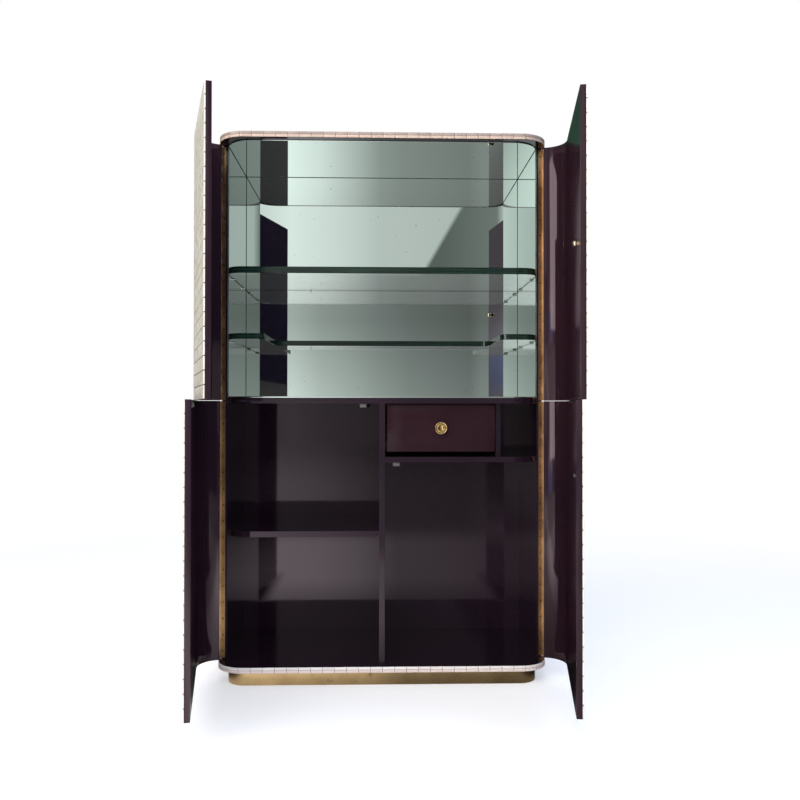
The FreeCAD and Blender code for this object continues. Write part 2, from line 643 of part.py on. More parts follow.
def knuckle_count(length):
    """An odd number of knuckles, so that both ends belong to the carcass leaf."""
    pairs = int(length / KNUCKLE_PITCH / 2)
    return 2 * pairs + 1


def screw_heights(z0, z1):
    """Heights of the screws in a leaf, evenly spread between its end margins."""
    low = z0 + SCREW_END_MARGIN
    high = z1 - SCREW_END_MARGIN
    spaces = max(1, round((high - low) / SCREW_PITCH))
    return [low + (high - low) * n / spaces for n in range(spaces + 1)]


def leaf_plate_x():
    """Where a leaf's flat plate starts and ends across the panel's edge, on the right side."""
    outer = PIN_X - BARREL_RADIUS - KNUCKLE_CLEARANCE
    return outer - LEAF_WIDTH, outer


def screw_solid(head_radius, shank_radius, head_height, length, start, way):
    """A countersunk screw, or the hole for one."""
    head = Part.makeCone(head_radius, shank_radius, head_height, start, way)
    shank = Part.makeCylinder(shank_radius, length, start, way)
    return head.fuse(shank)


def hinge_leaf(z0, z1, towards_back):
    """One leaf of the right-hand piano hinge, closed: the carcass leaf lies towards the back."""
    way = 1 if towards_back else -1
    face_y = HINGE_Y + way * LEAVES_GAP / 2
    wood_y = HINGE_Y + way * EDGE_SETBACK
    y0, y1 = sorted((face_y, wood_y))
    plate_x0, plate_x1 = leaf_plate_x()
    solids = [block(plate_x0, plate_x1, y0, y1, z0, z1)]
    count = knuckle_count(z1 - z0)
    step = (z1 - z0) / count
    for n in range(0 if towards_back else 1, count, 2):
        low = z0 + n * step + KNUCKLE_GAP / 2
        high = z0 + (n + 1) * step - KNUCKLE_GAP / 2
        barrel = Part.makeCylinder(BARREL_RADIUS, high - low, VEC(PIN_X, HINGE_Y, low))
        tab = block(plate_x0, PIN_X, y0, y1, low, high)
        solids.append(barrel.fuse(tab))
    leaf = solids[0].fuse(solids[1:]).removeSplitter()
    tools = [
        Part.makeCylinder(
            PIN_RADIUS + PIN_CLEARANCE,
            z1 - z0 + 2 * CUT_OVERRUN,
            VEC(PIN_X, HINGE_Y, z0 - CUT_OVERRUN),
        )
    ]
    screw_x = (plate_x0 + plate_x1) / 2
    for z in screw_heights(z0, z1):
        tools.append(
            screw_solid(
                SCREW_HEAD_RADIUS + SCREW_HOLE_CLEARANCE,
                SCREW_RADIUS + SCREW_HOLE_CLEARANCE,
                LEAF_THICKNESS,
                LEAF_THICKNESS + CUT_OVERRUN,
                VEC(screw_x, face_y, z),
                VEC(0, way, 0),
            )
        )
    return leaf.cut(tools)


def leaf_screws(z0, z1, towards_back):
    """The screws of one leaf, with their heads in its countersinks."""
    way = 1 if towards_back else -1
    face_y = HINGE_Y + way * LEAVES_GAP / 2
    plate_x0, plate_x1 = leaf_plate_x()
    screw_x = (plate_x0 + plate_x1) / 2
    screws = []
    for z in screw_heights(z0, z1):
        start = VEC(screw_x, face_y, z)
        screws.append(
            screw_solid(SCREW_HEAD_RADIUS, SCREW_RADIUS, LEAF_THICKNESS, SCREW_LENGTH, start, VEC(0, way, 0))
        )
    return screws


def revolved_stud(outline, base):
    """A stud that stands towards +Y from base, turned from a list of radius and reach pairs."""
    points = [VEC(radius, reach, 0) for radius, reach in outline]
    edges = [Part.LineSegment(a, b).toShape() for a, b in zip(points, points[1:] + points[:1])]
    stud = Part.Face(Part.Wire(edges)).revolve(VEC(0, 0, 0), ALONG_Y, 360)
    stud.translate(base)
    return stud


def strike_stud(x, z):
    """Steel strike that meets a catch: a disc with a raised boss, on a closed door's inner face."""
    outline = [
        (0, 0),
        (STRIKE_RADIUS, 0),
        (STRIKE_RADIUS, STRIKE_THICKNESS),
        (STRIKE_BOSS_RADIUS, STRIKE_THICKNESS),
        (STRIKE_BOSS_RADIUS, STRIKE_REACH),
        (0, STRIKE_REACH),
    ]
    return revolved_stud(outline, VEC(x, DOOR_INNER_Y, z))


def stop_stud(x, z):
    """Brass stop that meets the edge of the upper glass shelf: a broad flange and a stem."""
    outline = [
        (0, 0),
        (STOP_FLANGE_RADIUS, 0),
        (STOP_FLANGE_RADIUS, STOP_FLANGE_THICKNESS),
        (STOP_STEM_RADIUS, STOP_FLANGE_THICKNESS),
        (STOP_STEM_RADIUS, STOP_LENGTH),
        (0, STOP_LENGTH),
    ]
    return revolved_stud(outline, VEC(x, DOOR_INNER_Y, z))


def catch_z(side):
    """Underside of the board that carries the catch on the named side."""
    return MIDDLE_Z if side == "left" else DRAWER_SHELF_Z


def catch_x(side):
    """Distance of a catch from the middle, towards the named side."""
    return SIDES[side] * (LEFT_CATCH_OFFSET if side == "left" else RIGHT_CATCH_OFFSET)


def catch_body(side):
    """Roller catch under a board: a block with a slot in its mouth."""
    x = catch_x(side)
    top_z = catch_z(side)
    half = CATCH_WIDTH / 2
    back_y = CATCH_FRONT_Y + CATCH_DEPTH
    body = block(x - half, x + half, CATCH_FRONT_Y, back_y, top_z - CATCH_HEIGHT, top_z)
    slot_half = STRIKE_BOSS_RADIUS
    slot = block(
        x - slot_half,
        x + slot_half,
        CATCH_FRONT_Y - CUT_OVERRUN,
        back_y - CATCH_BACK_GAP,
        top_z - CATCH_HEIGHT / 2 - RUNNER_WALL,
        top_z - CATCH_HEIGHT / 2 + RUNNER_WALL,
    )
    return body.cut(slot)


def door_stud(level, side):
    """The stud on a door's inner face: a stop on the upper right door, a strike on a lower one."""
    if level == "upper":
        return stop_stud(SIDES[side] * STOP_OFFSET, UPPER_GLASS_Z + UPPER_GLASS_THICKNESS / 2)
    return strike_stud(catch_x(side), catch_z(side) - CATCH_HEIGHT / 2)


def opened(shape, level, side):
    """A closed door's piece, swung out about its pin to the angle at which the door stands."""
    door = level + "_" + side
    sign = SIDES[side]
    swung = shape.copy()
    swung.rotate(VEC(sign * PIN_X, HINGE_Y, 0), ALONG_Z, sign * DOOR_OPEN_ANGLE[door])
    return swung


def door_parts(level, side):
    """One door: core, mosaic skin, hinge leaf and its screws, and the stud where the door has one."""
    z0, z1 = DOOR_SPAN[level]
    hinge_z0 = z0 + LEAF_END_SETBACK
    hinge_z1 = z1 - LEAF_END_SETBACK
    core = door_layer(SKIN_THICKNESS, DOOR_THICKNESS, z0, z1)
    core = core.makeFillet(EDGE_ROUNDING, upright_rim(core, DOOR_INNER_Y, DOOR_FREE_X))
    skin = door_layer(0.0, SKIN_THICKNESS, z0, z1)
    leaf = hinge_leaf(hinge_z0, hinge_z1, False)
    screws = Part.makeCompound(leaf_screws(hinge_z0, hinge_z1, False))
    door = level + "_" + side
    parts = {
        door + "_door_core": on_side(core, side),
        door + "_door_skin": on_side(skin, side),
        door + "_door_leaf": on_side(leaf, side),
        door + "_door_screws": on_side(screws, side),
    }
    if door != STUDLESS_DOOR:
        parts[door + "_door_stud"] = door_stud(level, side)
    return {name: opened(shape, level, side) for name, shape in parts.items()}


def carcass_hinge_parts():
    """Carcass leaves, the pins and the screws that hold the leaves to the side panels."""
    parts = {}
    pins = []
    screws = []
    for level in LEVELS:
        z0, z1 = DOOR_SPAN[level]
        hinge_z0 = z0 + LEAF_END_SETBACK
        hinge_z1 = z1 - LEAF_END_SETBACK
        leaf = hinge_leaf(hinge_z0, hinge_z1, True)
        pin = Part.makeCylinder(PIN_RADIUS, hinge_z1 - hinge_z0, VEC(PIN_X, HINGE_Y, hinge_z0))
        for side in SIDES:
            parts[level + "_" + side + "_carcass_leaf"] = on_side(leaf, side)
            pins.append(on_side(pin, side))
            screws.extend(on_side(screw, side) for screw in leaf_screws(hinge_z0, hinge_z1, True))
    parts["hinge_pins"] = Part.makeCompound(pins)
    parts["carcass_hinge_screws"] = Part.makeCompound(screws)
    return parts


def build():
    """Every node of the cabinet, by name."""
    nodes = {}
    nodes.update(plinth_parts())
    nodes.update(plate_parts())
    nodes.update(side_panel_parts())
    nodes.update(board_parts())
    nodes.update(mirror_parts())
    nodes.update(glass_parts())
    nodes.update(drawer_parts())
    nodes.update(carcass_hinge_parts())
    nodes["door_catches"] = Part.makeCompound([catch_body(side) for side in SIDES])
    for level in LEVELS:
        for side in SIDES:
            nodes.update(door_parts(level, side))
    return nodes


def main():
    """Write one STEP file for each node."""
    os.makedirs("parts", exist_ok=True)
    nodes = build()
    for name, shape in nodes.items():
        shape.exportStep(os.path.join("parts", name + ".step"))
        print(f"{name}: {len(shape.Solids)} solids, {shape.Volume:.0f} mm3, valid {shape.isValid()}")
    print(f"{len(nodes)} nodes")


main()
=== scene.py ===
"""Bar cabinet with four wrap-round doors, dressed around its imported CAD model."""

import json
import logging
import math
import random
from dataclasses import dataclass, field
from enum import Enum

import bpy
import numpy as np
from mathutils import Matrix, Vector


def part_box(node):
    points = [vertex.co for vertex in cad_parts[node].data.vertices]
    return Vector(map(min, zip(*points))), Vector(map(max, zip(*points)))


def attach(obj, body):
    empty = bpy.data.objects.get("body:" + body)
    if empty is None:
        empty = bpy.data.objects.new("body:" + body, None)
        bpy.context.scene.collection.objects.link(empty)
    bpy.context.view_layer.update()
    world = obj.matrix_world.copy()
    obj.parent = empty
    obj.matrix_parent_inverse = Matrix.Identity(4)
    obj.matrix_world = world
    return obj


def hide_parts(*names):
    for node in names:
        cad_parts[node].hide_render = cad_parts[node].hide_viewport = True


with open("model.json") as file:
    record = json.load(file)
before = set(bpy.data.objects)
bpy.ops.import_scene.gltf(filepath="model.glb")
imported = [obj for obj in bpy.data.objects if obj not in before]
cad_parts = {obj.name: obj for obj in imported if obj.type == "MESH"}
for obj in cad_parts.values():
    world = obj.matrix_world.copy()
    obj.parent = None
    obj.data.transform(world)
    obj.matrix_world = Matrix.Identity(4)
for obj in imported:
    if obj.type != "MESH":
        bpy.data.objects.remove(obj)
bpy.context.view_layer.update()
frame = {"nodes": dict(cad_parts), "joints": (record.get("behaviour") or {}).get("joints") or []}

logging.basicConfig(level=logging.INFO, format="%(message)s")
LOG = logging.getLogger("cabinet")

MM = 0.001
SHEET_UV = "sheet"
QUARTER = math.pi / 2
SMOOTH_ANGLE = math.radians(35)
KNOB_SMOOTH_ANGLE = math.radians(42)
SHARP_ANGLE = math.radians(60)
MERGE = 0.000005
FLAT_SHARE = 0.6

Colour = tuple[float, float, float]
Point = tuple[float, float]
Point3 = tuple[float, float, float]
Range = tuple[float, float]


class Side(Enum):
    """The two sides of the cabinet, by the sign of X."""

    LEFT = -1
    RIGHT = 1


class Level(Enum):
    """The two door heights."""

    UPPER = "upper"
    LOWER = "lower"


class Bond(Enum):
    """How the rows of a mosaic lie on each other."""

    RUNNING = 2
    STACK = 1


def linear(red: int, green: int, blue: int) -> Colour:
    """Turn a display colour into the linear colour that a shader takes.

    Args:
        red: Red from 0 to 255.
        green: Green from 0 to 255.
        blue: Blue from 0 to 255.

    Returns:
        The linear colour.
    """
    parts = []
    for value in (red, green, blue):
        share = value / 255
        parts.append(share / 12.92 if share <= 0.04045 else ((share + 0.055) / 1.055) ** 2.4)
    return parts[0], parts[1], parts[2]


class NodeTree:
    """Short calls that add and join the nodes of one material or of the world."""

    def __init__(self, tree: bpy.types.NodeTree) -> None:
        """Empty the tree."""
        self.tree = tree
        tree.nodes.clear()

    def add(self, kind: str, inputs: dict | None = None, **settings: object) -> bpy.types.Node:
        """Add a node.

        Args:
            kind: Blender's name of the node type.
            inputs: Values or output sockets for the node's inputs, by name or number.
            **settings: Properties of the node.

        Returns:
            The new node.
        """
        node = self.tree.nodes.new(kind)
        for name, value in settings.items():
            setattr(node, name, value)
        for name, value in (inputs or {}).items():
            if isinstance(value, bpy.types.NodeSocket):
                self.tree.links.new(value, node.inputs[name])
            else:
                node.inputs[name].default_value = value
        return node

    def maths(self, operation: str, *values: object, clamp: bool = False) -> bpy.types.NodeSocket:
        """Work out one number.

        Args:
            operation: The Math node's operation.
            *values: Numbers or sockets.
            clamp: Whether the result is kept between 0 and 1.

        Returns:
            The result's socket.
        """
        inputs = dict(enumerate(values))
        return self.add("ShaderNodeMath", inputs, operation=operation, use_clamp=clamp).outputs[0]

    def times(self, *values: object) -> bpy.types.NodeSocket:
        """Multiply two numbers."""
        return self.maths("MULTIPLY", *values)

    def split(self, vector: bpy.types.NodeSocket) -> list[bpy.types.NodeSocket]:
        """Give a vector's three parts."""
        return self.add("ShaderNodeSeparateXYZ", {0: vector}).outputs

    def ramp(self, value: bpy.types.NodeSocket, *stops: tuple[float, Colour]) -> bpy.types.NodeSocket:
        """Colour a number by a ramp.

        Args:
            value: The number's socket.
            *stops: Places from 0 to 1 with their colours.

        Returns:
            The colour's socket.
        """
        node = self.add("ShaderNodeValToRGB", {"Fac": value})
        elements = node.color_ramp.elements
        while len(elements) < len(stops):
            elements.new(0.5)
        for element, (place, colour) in zip(elements, stops):
            element.position = place
            element.color = (*colour, 1)
        return node.outputs["Color"]

    def spread(
        self, value: bpy.types.NodeSocket, low: float, high: float, to_low: float, to_high: float
    ) -> bpy.types.NodeSocket:
        """Map a number from one range to another, kept inside the second.

        Args:
            value: The number's socket.
            low: Start of the first range.
            high: End of the first range.
            to_low: Start of the second range.
            to_high: End of the second range.

        Returns:
            The mapped number's socket.
        """
        inputs = {"Value": value, 1: low, 2: high, 3: to_low, 4: to_high}
        return self.add("ShaderNodeMapRange", inputs).outputs[0]

    def share(self, value: bpy.types.NodeSocket, ends: Range) -> bpy.types.NodeSocket:
        """Give how far a number has come from one end to the other, from 0 to 1."""
        return self.spread(value, *ends, 0, 1)

    def noise(
        self, place: bpy.types.NodeSocket, scale: float, detail: float = 3.0, rough: float = 0.5
    ) -> bpy.types.NodeSocket:
        """Add cloudy noise.

        Args:
            place: The coordinates' socket.
            scale: Clouds per unit of the coordinates.
            detail: Octaves.
            rough: Strength of the finer octaves.

        Returns:
            The noise value's socket.
        """
        inputs = {"Vector": place, "Scale": scale, "Detail": detail, "Roughness": rough}
        return self.add("ShaderNodeTexNoise", inputs).outputs[0]

    def stretched(self, place: bpy.types.NodeSocket, *scale: float) -> bpy.types.NodeSocket:
        """Scale coordinates by a different amount along each axis."""
        inputs = {"Vector": place, "Scale": scale}
        return self.add("ShaderNodeMapping", inputs).outputs[0]

    def mix(
        self, share: object, first: object, second: object, blend: str = "MIX"
    ) -> bpy.types.NodeSocket:
        """Mix two colours.

        Args:
            share: How much of the second, as a number or socket.
            first: The first colour or socket.
            second: The second colour or socket.
            blend: The Mix node's blend type.

        Returns:
            The mixed colour's socket.
        """
        node = self.add("ShaderNodeMix", data_type="RGBA", blend_type=blend)
        sockets = (node.inputs[0], node.inputs[6], node.inputs[7])
        for socket, value in zip(sockets, (share, first, second)):
            if isinstance(value, bpy.types.NodeSocket):
                self.tree.links.new(value, socket)
            elif isinstance(value, tuple):
                socket.default_value = (*value, 1)
            else:
                socket.default_value = value
        return node.outputs[2]

    def tinted(self, colour: object, tint: object) -> bpy.types.NodeSocket:
        """Multiply two colours."""
        return self.mix(1.0, colour, tint, "MULTIPLY")

    def bump(
        self, height: bpy.types.NodeSocket, strength: float, distance: float, normal: object = None
    ) -> bpy.types.NodeSocket:
        """Turn a height into a normal.

        Args:
            height: The height's socket, from 0 to 1.
            strength: How much of it shows.
            distance: What a height of 1 stands for, in metres.
            normal: A normal that this one is added to.

        Returns:
            The normal's socket.
        """
        inputs = {"Height": height, "Strength": strength, "Distance": distance}
        if normal is not None:
            inputs["Normal"] = normal
        return self.add("ShaderNodeBump", inputs).outputs[0]

    def object_place(self) -> bpy.types.NodeSocket:
        """Give the coordinates of a piece that lies where its mesh is."""
        return self.add("ShaderNodeTexCoord").outputs["Object"]

    def attribute(self, name: str) -> bpy.types.NodeSocket:
        """Give a number that the mesh carries."""
        return self.add("ShaderNodeAttribute", attribute_name=name).outputs["Fac"]

    def worn_edge(self, radius: float) -> bpy.types.NodeSocket:
        """Find edges: 0 on flat places and towards 1 where two faces meet.

        Args:
            radius: How far from the edge it reaches, in metres.

        Returns:
            The number's socket.
        """
        soft = self.add("ShaderNodeBevel", {"Radius": radius}, samples=4).outputs[0]
        sharp = self.add("ShaderNodeNewGeometry").outputs["Normal"]
        inputs = {0: soft, 1: sharp}
        dot = self.add("ShaderNodeVectorMath", inputs, operation="DOT_PRODUCT").outputs["Value"]
        return self.spread(dot, 0.99, 0.8, 0.0, 1.0)

    def worn(self, colour: object, edge: Colour, radius: float, share: float) -> bpy.types.NodeSocket:
        """Show another colour on a piece's edges.

        Args:
            colour: The colour elsewhere.
            edge: The colour of the edges.
            radius: How far from the edge it reaches, in metres.
            share: How much of it shows.

        Returns:
            The mixed colour's socket.
        """
        return self.mix(self.times(self.worn_edge(radius), share), colour, edge)

    def shader(self, kind: str, inputs: dict) -> bpy.types.NodeSocket:
        """Add a shader, named as in ShaderNodeBsdfPrincipled, and give its output."""
        return self.add("ShaderNode" + kind, inputs).outputs[0]

    def blend(self, share: object, first: object, second: object) -> bpy.types.NodeSocket:
        """Mix two shaders."""
        return self.shader("MixShader", {0: share, 1: first, 2: second})

    def show(self, surface: bpy.types.NodeSocket, output: str = "OutputMaterial") -> None:
        """Join a shader to the tree's output."""
        self.add("ShaderNode" + output, {"Surface": surface})

    def surface(self, colour: object, rough: object, normal: object, more: dict | None = None) -> None:
        """Add the surface shader and join it to the output.

        Args:
            colour: Its colour.
            rough: Its roughness.
            normal: Its normal.
            more: Values or sockets for its other inputs.
        """
        inputs = {"Base Color": colour, "Roughness": rough, "Normal": normal, **(more or {})}
        self.show(self.shader("BsdfPrincipled", inputs))


class Finish:
    """A finish that a piece is made in. Each kind says in its own nodes how it looks."""

    name: str

    def nodes(self, tree: NodeTree) -> None:
        """Fill the material's node tree.

        Args:
            tree: The empty tree.
        """
        raise NotImplementedError

    def material(self) -> bpy.types.Material:
        """Make the material once and give it again after that.

        Returns:
            The material.
        """
        found = bpy.data.materials.get(self.name)
        if found is not None:
            return found
        made = bpy.data.materials.new(self.name)
        made.use_nodes = True
        self.nodes(NodeTree(made.node_tree))
        LOG.info("finish %s", self.name)
        return made


@dataclass(frozen=True)
class Lacquer(Finish):
    """Dark polished lacquer, smooth as glass with a slow ripple, faint haze and lighter edges, partly
    worn and partly a painted highlight.
    """

    name: str
    body: Colour
    shade: Colour
    edge: Colour
    roughness: float = 0.05
    gloss: float = 0.5
    low_gloss: float = 0.5
    sheen: Colour = (1.0, 0.84, 0.92)
    cloud_scale: float = 3.2
    speck_scale: float = 160.0
    ripple_scale: float = 26.0
    ripple_depth: float = 0.6 * MM
    sag_depth: float = 5.0 * MM
    wear_radius: float = 1.2 * MM
    wear_share: float = 0.5

    def nodes(self, tree: NodeTree) -> None:
        """Fill the material's node tree.

        Args:
            tree: The empty tree.
        """
        place = tree.object_place()
        clouds = tree.noise(place, self.cloud_scale, 4, 0.55)
        specks = tree.noise(place, self.speck_scale, 2, 0.6)
        colour = tree.mix(tree.share(clouds, (0.35, 0.65)), self.body, self.shade)
        colour = tree.mix(tree.spread(specks, 0.66, 0.8, 0, 0.2), colour, self.edge)
        # Lighter edges: partly wear, partly a painted highlight along each edge where it would catch
        # the light.
        colour = tree.worn(colour, self.edge, self.wear_radius, self.wear_share)
        haze = tree.noise(tree.stretched(place, 5, 5, 2.2), 2.0, 3, 0.6)
        facing = tree.add("ShaderNodeLayerWeight", {"Blend": 0.5}).outputs["Facing"]
        rough = tree.maths(
            "ADD",
            tree.spread(haze, 0.3, 0.7, self.roughness * 0.7, self.roughness * 1.5),
            tree.spread(facing, 0.6, 0.95, 0, self.roughness),
        )
        ripple = tree.noise(place, self.ripple_scale, 2, 0.4)
        sag = tree.noise(tree.stretched(place, 3, 3, 0.5), 1.4, 1, 0.3)
        fine = tree.bump(ripple, 0.025, self.ripple_depth)
        normal = tree.bump(sag, 0.08, self.sag_depth, fine)
        gloss = tree.spread(facing, 0.45, 0.9, self.gloss, self.low_gloss)
        more = {"IOR": 1.5, "Specular Tint": (*self.sheen, 1), "Specular IOR Level": gloss}
        tree.surface(colour, rough, normal, more)


@dataclass(frozen=True)
class MirrorGlass(Finish):
    """Silvered glass with a grey-green tint and a few dark specks."""

    name: str
    tint: Colour
    speck: Colour
    speck_scale: float = 90.0
    film_scale: float = 2.5
    bow_scale: float = 1.6
    bow_depth: float = 4.0 * MM

    def nodes(self, tree: NodeTree) -> None:
        """Fill the material's node tree.

        Args:
            tree: The empty tree.
        """
        place = tree.object_place()
        blots = tree.noise(place, self.speck_scale, 2, 0.5)
        film = tree.noise(place, self.film_scale, 4, 0.6)
        colour = tree.mix(tree.spread(blots, 0.73, 0.80, 0, 0.7), self.tint, self.speck)
        rough = tree.spread(film, 0.35, 0.75, 0.004, 0.02)
        bow = tree.noise(place, self.bow_scale, 1, 0.3)
        tree.surface(colour, rough, tree.bump(bow, 0.05, self.bow_depth), {"Metallic": 1.0})


@dataclass(frozen=True)
class FloatGlass(Finish):
    """Clear shelf glass whose narrow edges show its dark green body."""

    name: str
    face: Colour
    edge: Colour
    edge_light: Colour
    bending: float = 1.52
    smear_scale: float = 6.0

    def nodes(self, tree: NodeTree) -> None:
        """Fill the material's node tree.

        Args:
            tree: The empty tree.
        """
        place = tree.object_place()
        normal = tree.add("ShaderNodeNewGeometry").outputs["True Normal"]
        flat = tree.maths("GREATER_THAN", tree.maths("ABSOLUTE", tree.split(normal)[2]), FLAT_SHARE)
        smears = tree.noise(place, self.smear_scale, 4, 0.6)
        clear = {
            "Base Color": (*self.face, 1),
            "Roughness": tree.spread(smears, 0.4, 0.8, 0.0, 0.05),
            "IOR": self.bending,
            "Transmission Weight": 1.0,
        }
        streaks = tree.noise(tree.stretched(place, 1, 1, 60), 6.0, 3, 0.5)
        rim = {
            "Base Color": tree.mix(tree.share(streaks, (0.4, 0.7)), self.edge, self.edge_light),
            "Roughness": tree.spread(smears, 0.3, 0.7, 0.05, 0.14),
            "IOR": self.bending,
        }
        shaders = [tree.shader("BsdfPrincipled", inputs) for inputs in (rim, clear)]
        tree.show(tree.blend(flat, *shaders))


@dataclass(frozen=True)
class Metal(Finish):
    """Brass or steel with rubbing marks, tarnish in clouds and brighter worn edges."""

    name: str
    bright: Colour
    dull: Colour
    grain: tuple[float, float, float]
    roughness: float
    tarnish: float
    dirt: Colour = (0.03, 0.02, 0.01)
    blot_scale: float = 45.0
    cloud_scale: float = 7.0
    line_depth: float = 0.3 * MM
    wear_radius: float = 0.8 * MM
    wear_share: float = 0.55

    def nodes(self, tree: NodeTree) -> None:
        """Fill the material's node tree.

        Args:
            tree: The empty tree.
        """
        place = tree.object_place()
        clouds = tree.noise(place, self.cloud_scale, 5, 0.6)
        blots = tree.noise(place, self.blot_scale, 4, 0.65)
        lines = tree.noise(tree.stretched(place, *self.grain), 1.0, 3, 0.6)
        cover = tree.maths(
            "ADD",
            tree.spread(clouds, 0.36, 0.66, 0.0, self.tarnish),
            tree.spread(lines, 0.3, 0.75, -0.12, 0.2),
            clamp=True,
        )
        colour = tree.mix(cover, self.bright, self.dull)
        colour = tree.mix(tree.spread(blots, 0.62, 0.78, 0, self.tarnish * 0.6), colour, self.dirt)
        colour = tree.worn(colour, self.bright, self.wear_radius, self.wear_share)
        rough = tree.maths(
            "ADD",
            tree.spread(lines, 0.3, 0.7, self.roughness * 0.75, self.roughness * 1.25),
            tree.spread(blots, 0.55, 0.8, 0, 0.18),
        )
        tree.surface(colour, rough, tree.bump(lines, 0.14, self.line_depth), {"Metallic": 1.0})


@dataclass(frozen=True)
class Wood(Finish):
    """Plain wood with grain along one axis."""

    name: str
    early: Colour
    late: Colour
    grain: tuple[float, float, float]
    roughness: float = 0.5
    pore_depth: float = 0.5 * MM
    wear_radius: float = 1.0 * MM
    wear_share: float = 0.35

    def nodes(self, tree: NodeTree) -> None:
        """Fill the material's node tree.

        Args:
            tree: The empty tree.
        """
        place = tree.object_place()
        flow = tree.stretched(place, *self.grain)
        bands = tree.noise(flow, 1.0, 5, 0.62)
        pores = tree.noise(flow, 9.0, 3, 0.6)
        colour = tree.mix(tree.share(bands, (0.35, 0.66)), self.early, self.late)
        colour = tree.mix(tree.spread(pores, 0.6, 0.78, 0, 0.5), colour, self.late)
        colour = tree.worn(colour, self.early, self.wear_radius, self.wear_share)
        rough = tree.spread(pores, 0.3, 0.7, self.roughness * 0.85, self.roughness * 1.2)
        tree.surface(colour, rough, tree.bump(pores, 0.25, self.pore_depth))


@dataclass(frozen=True)
class ShellTile(Finish):
    """Polished shell tile: each has its own tone, with fine growth lines and a clear coat."""

    name: str
    pale: Colour
    deep: Colour
    vein: Colour
    line_scale: float = 900.0
    vein_share: float = 0.4
    upper_pale: Colour | None = None
    upper_deep: Colour | None = None
    cloud_scale: float = 42.0
    cloud_depth: float = 0.6 * MM
    line_depth: float = 0.2 * MM
    wear_radius: float = 0.6 * MM
    wear_share: float = 0.35

    def nodes(self, tree: NodeTree) -> None:
        """Fill the material's node tree.

        Args:
            tree: The empty tree.
        """
        sheet = tree.add("ShaderNodeUVMap", uv_map=SHEET_UV).outputs[0]
        tone = tree.attribute("tile_tone")
        turn = tree.attribute("tile_turn")
        shift = tree.add("ShaderNodeCombineXYZ", {0: turn, 1: tone, 2: turn}).outputs[0]
        inputs = {0: sheet, 1: shift}
        place = tree.add("ShaderNodeVectorMath", inputs, operation="ADD").outputs[0]
        lines = tree.noise(tree.stretched(place, 14, self.line_scale, 1), 1.0, 3, 0.6)
        fine = tree.noise(tree.stretched(place, 60, self.line_scale * 2, 1), 1.0, 2, 0.6)
        clouds = tree.noise(place, self.cloud_scale, 4, 0.6)
        colour = tree.mix(tree.share(tone, (0, 1)), self.pale, self.deep)
        if self.upper_pale is not None:
            other = tree.mix(tone, self.upper_pale, self.upper_deep)
            colour = tree.mix(tree.attribute("tile_row"), colour, other)
        colour = tree.mix(tree.spread(lines, 0.5, 0.78, 0, self.vein_share), colour, self.vein)
        colour = tree.mix(tree.spread(clouds, 0.5, 0.8, 0, 0.4), colour, self.deep)
        colour = tree.mix(tree.spread(fine, 0.66, 0.8, 0, 0.25), colour, self.vein)
        colour = tree.worn(colour, self.vein, self.wear_radius, self.wear_share)
        rough = tree.spread(clouds, 0.3, 0.7, 0.24, 0.4)
        grooves = tree.bump(lines, 0.16, self.line_depth)
        normal = tree.bump(clouds, 0.12, self.cloud_depth, grooves)
        coat = {"IOR": 1.5, "Coat Weight": 0.35, "Coat Roughness": 0.12}
        tree.surface(colour, rough, normal, coat)


@dataclass(frozen=True)
class Grout(Finish):
    """Dull joint filler between the tiles."""

    name: str
    body: Colour
    dark: Colour
    grit_scale: float = 420.0
    stain_scale: float = 11.0
    grit_depth: float = 0.4 * MM

    def nodes(self, tree: NodeTree) -> None:
        """Fill the material's node tree.

        Args:
            tree: The empty tree.
        """
        place = tree.object_place()
        grit = tree.noise(place, self.grit_scale, 3, 0.6)
        stain = tree.noise(place, self.stain_scale, 4, 0.6)
        colour = tree.mix(tree.share(stain, (0.35, 0.7)), self.body, self.dark)
        colour = tree.mix(tree.spread(grit, 0.55, 0.8, 0, 0.5), colour, self.dark)
        rough = tree.spread(grit, 0.3, 0.7, 0.55, 0.85)
        tree.surface(colour, rough, tree.bump(grit, 0.5, self.grit_depth))


# Carcass lacquer: a darker, bluer copy of the front and door lacquer, painted shade for the dim inside
# of the cabinet.
SHADED_LACQUER = Lacquer("aubergine_polish", linear(36, 22, 33), linear(29, 19, 29), linear(86, 58, 68))
FRONT_LACQUER = Lacquer(
    "aubergine_front", linear(49, 28, 34), linear(42, 25, 31), linear(112, 74, 78), 0.1, 0.2
)
DOOR_LACQUER = Lacquer(
    "aubergine_door", linear(46, 27, 34), linear(38, 23, 30), linear(98, 66, 70), 0.05, 0.5, 0.22
)
EDGE_LACQUER = Lacquer(
    "aubergine_edge", linear(47, 31, 37), linear(38, 25, 32), linear(84, 58, 62), 0.18, 0.35, 0.12
)
MIRROR = MirrorGlass("silvered_glass", linear(220, 231, 226), linear(112, 124, 118))
SHELF_GLASS = FloatGlass(
    "shelf_glass_clear", (0.93, 0.975, 0.955), linear(14, 28, 22), linear(34, 58, 47)
)
PLINTH_BRASS = Metal(
    "plinth_brass_satin", linear(214, 182, 132), linear(164, 136, 98), (1.5, 1.5, 420.0), 0.34, 0.75
)
HINGE_BRASS = Metal(
    "hinge_brass_aged", linear(224, 184, 134), linear(140, 106, 70), (260.0, 260.0, 90.0), 0.34, 0.9,
    blot_scale=170.0,
)
KNOB_BRASS = Metal(
    "knob_brass_turned", linear(230, 200, 140), linear(172, 142, 90), (60, 60, 60), 0.2, 0.5
)
STOP_BRASS = Metal(
    "stop_brass_pale", linear(238, 218, 186), linear(190, 166, 130), (60, 60, 60), 0.22, 0.5
)
CATCH_STEEL = Metal(
    "catch_steel_nickel", linear(172, 168, 170), linear(112, 108, 112), (40, 400, 40), 0.3, 0.6
)
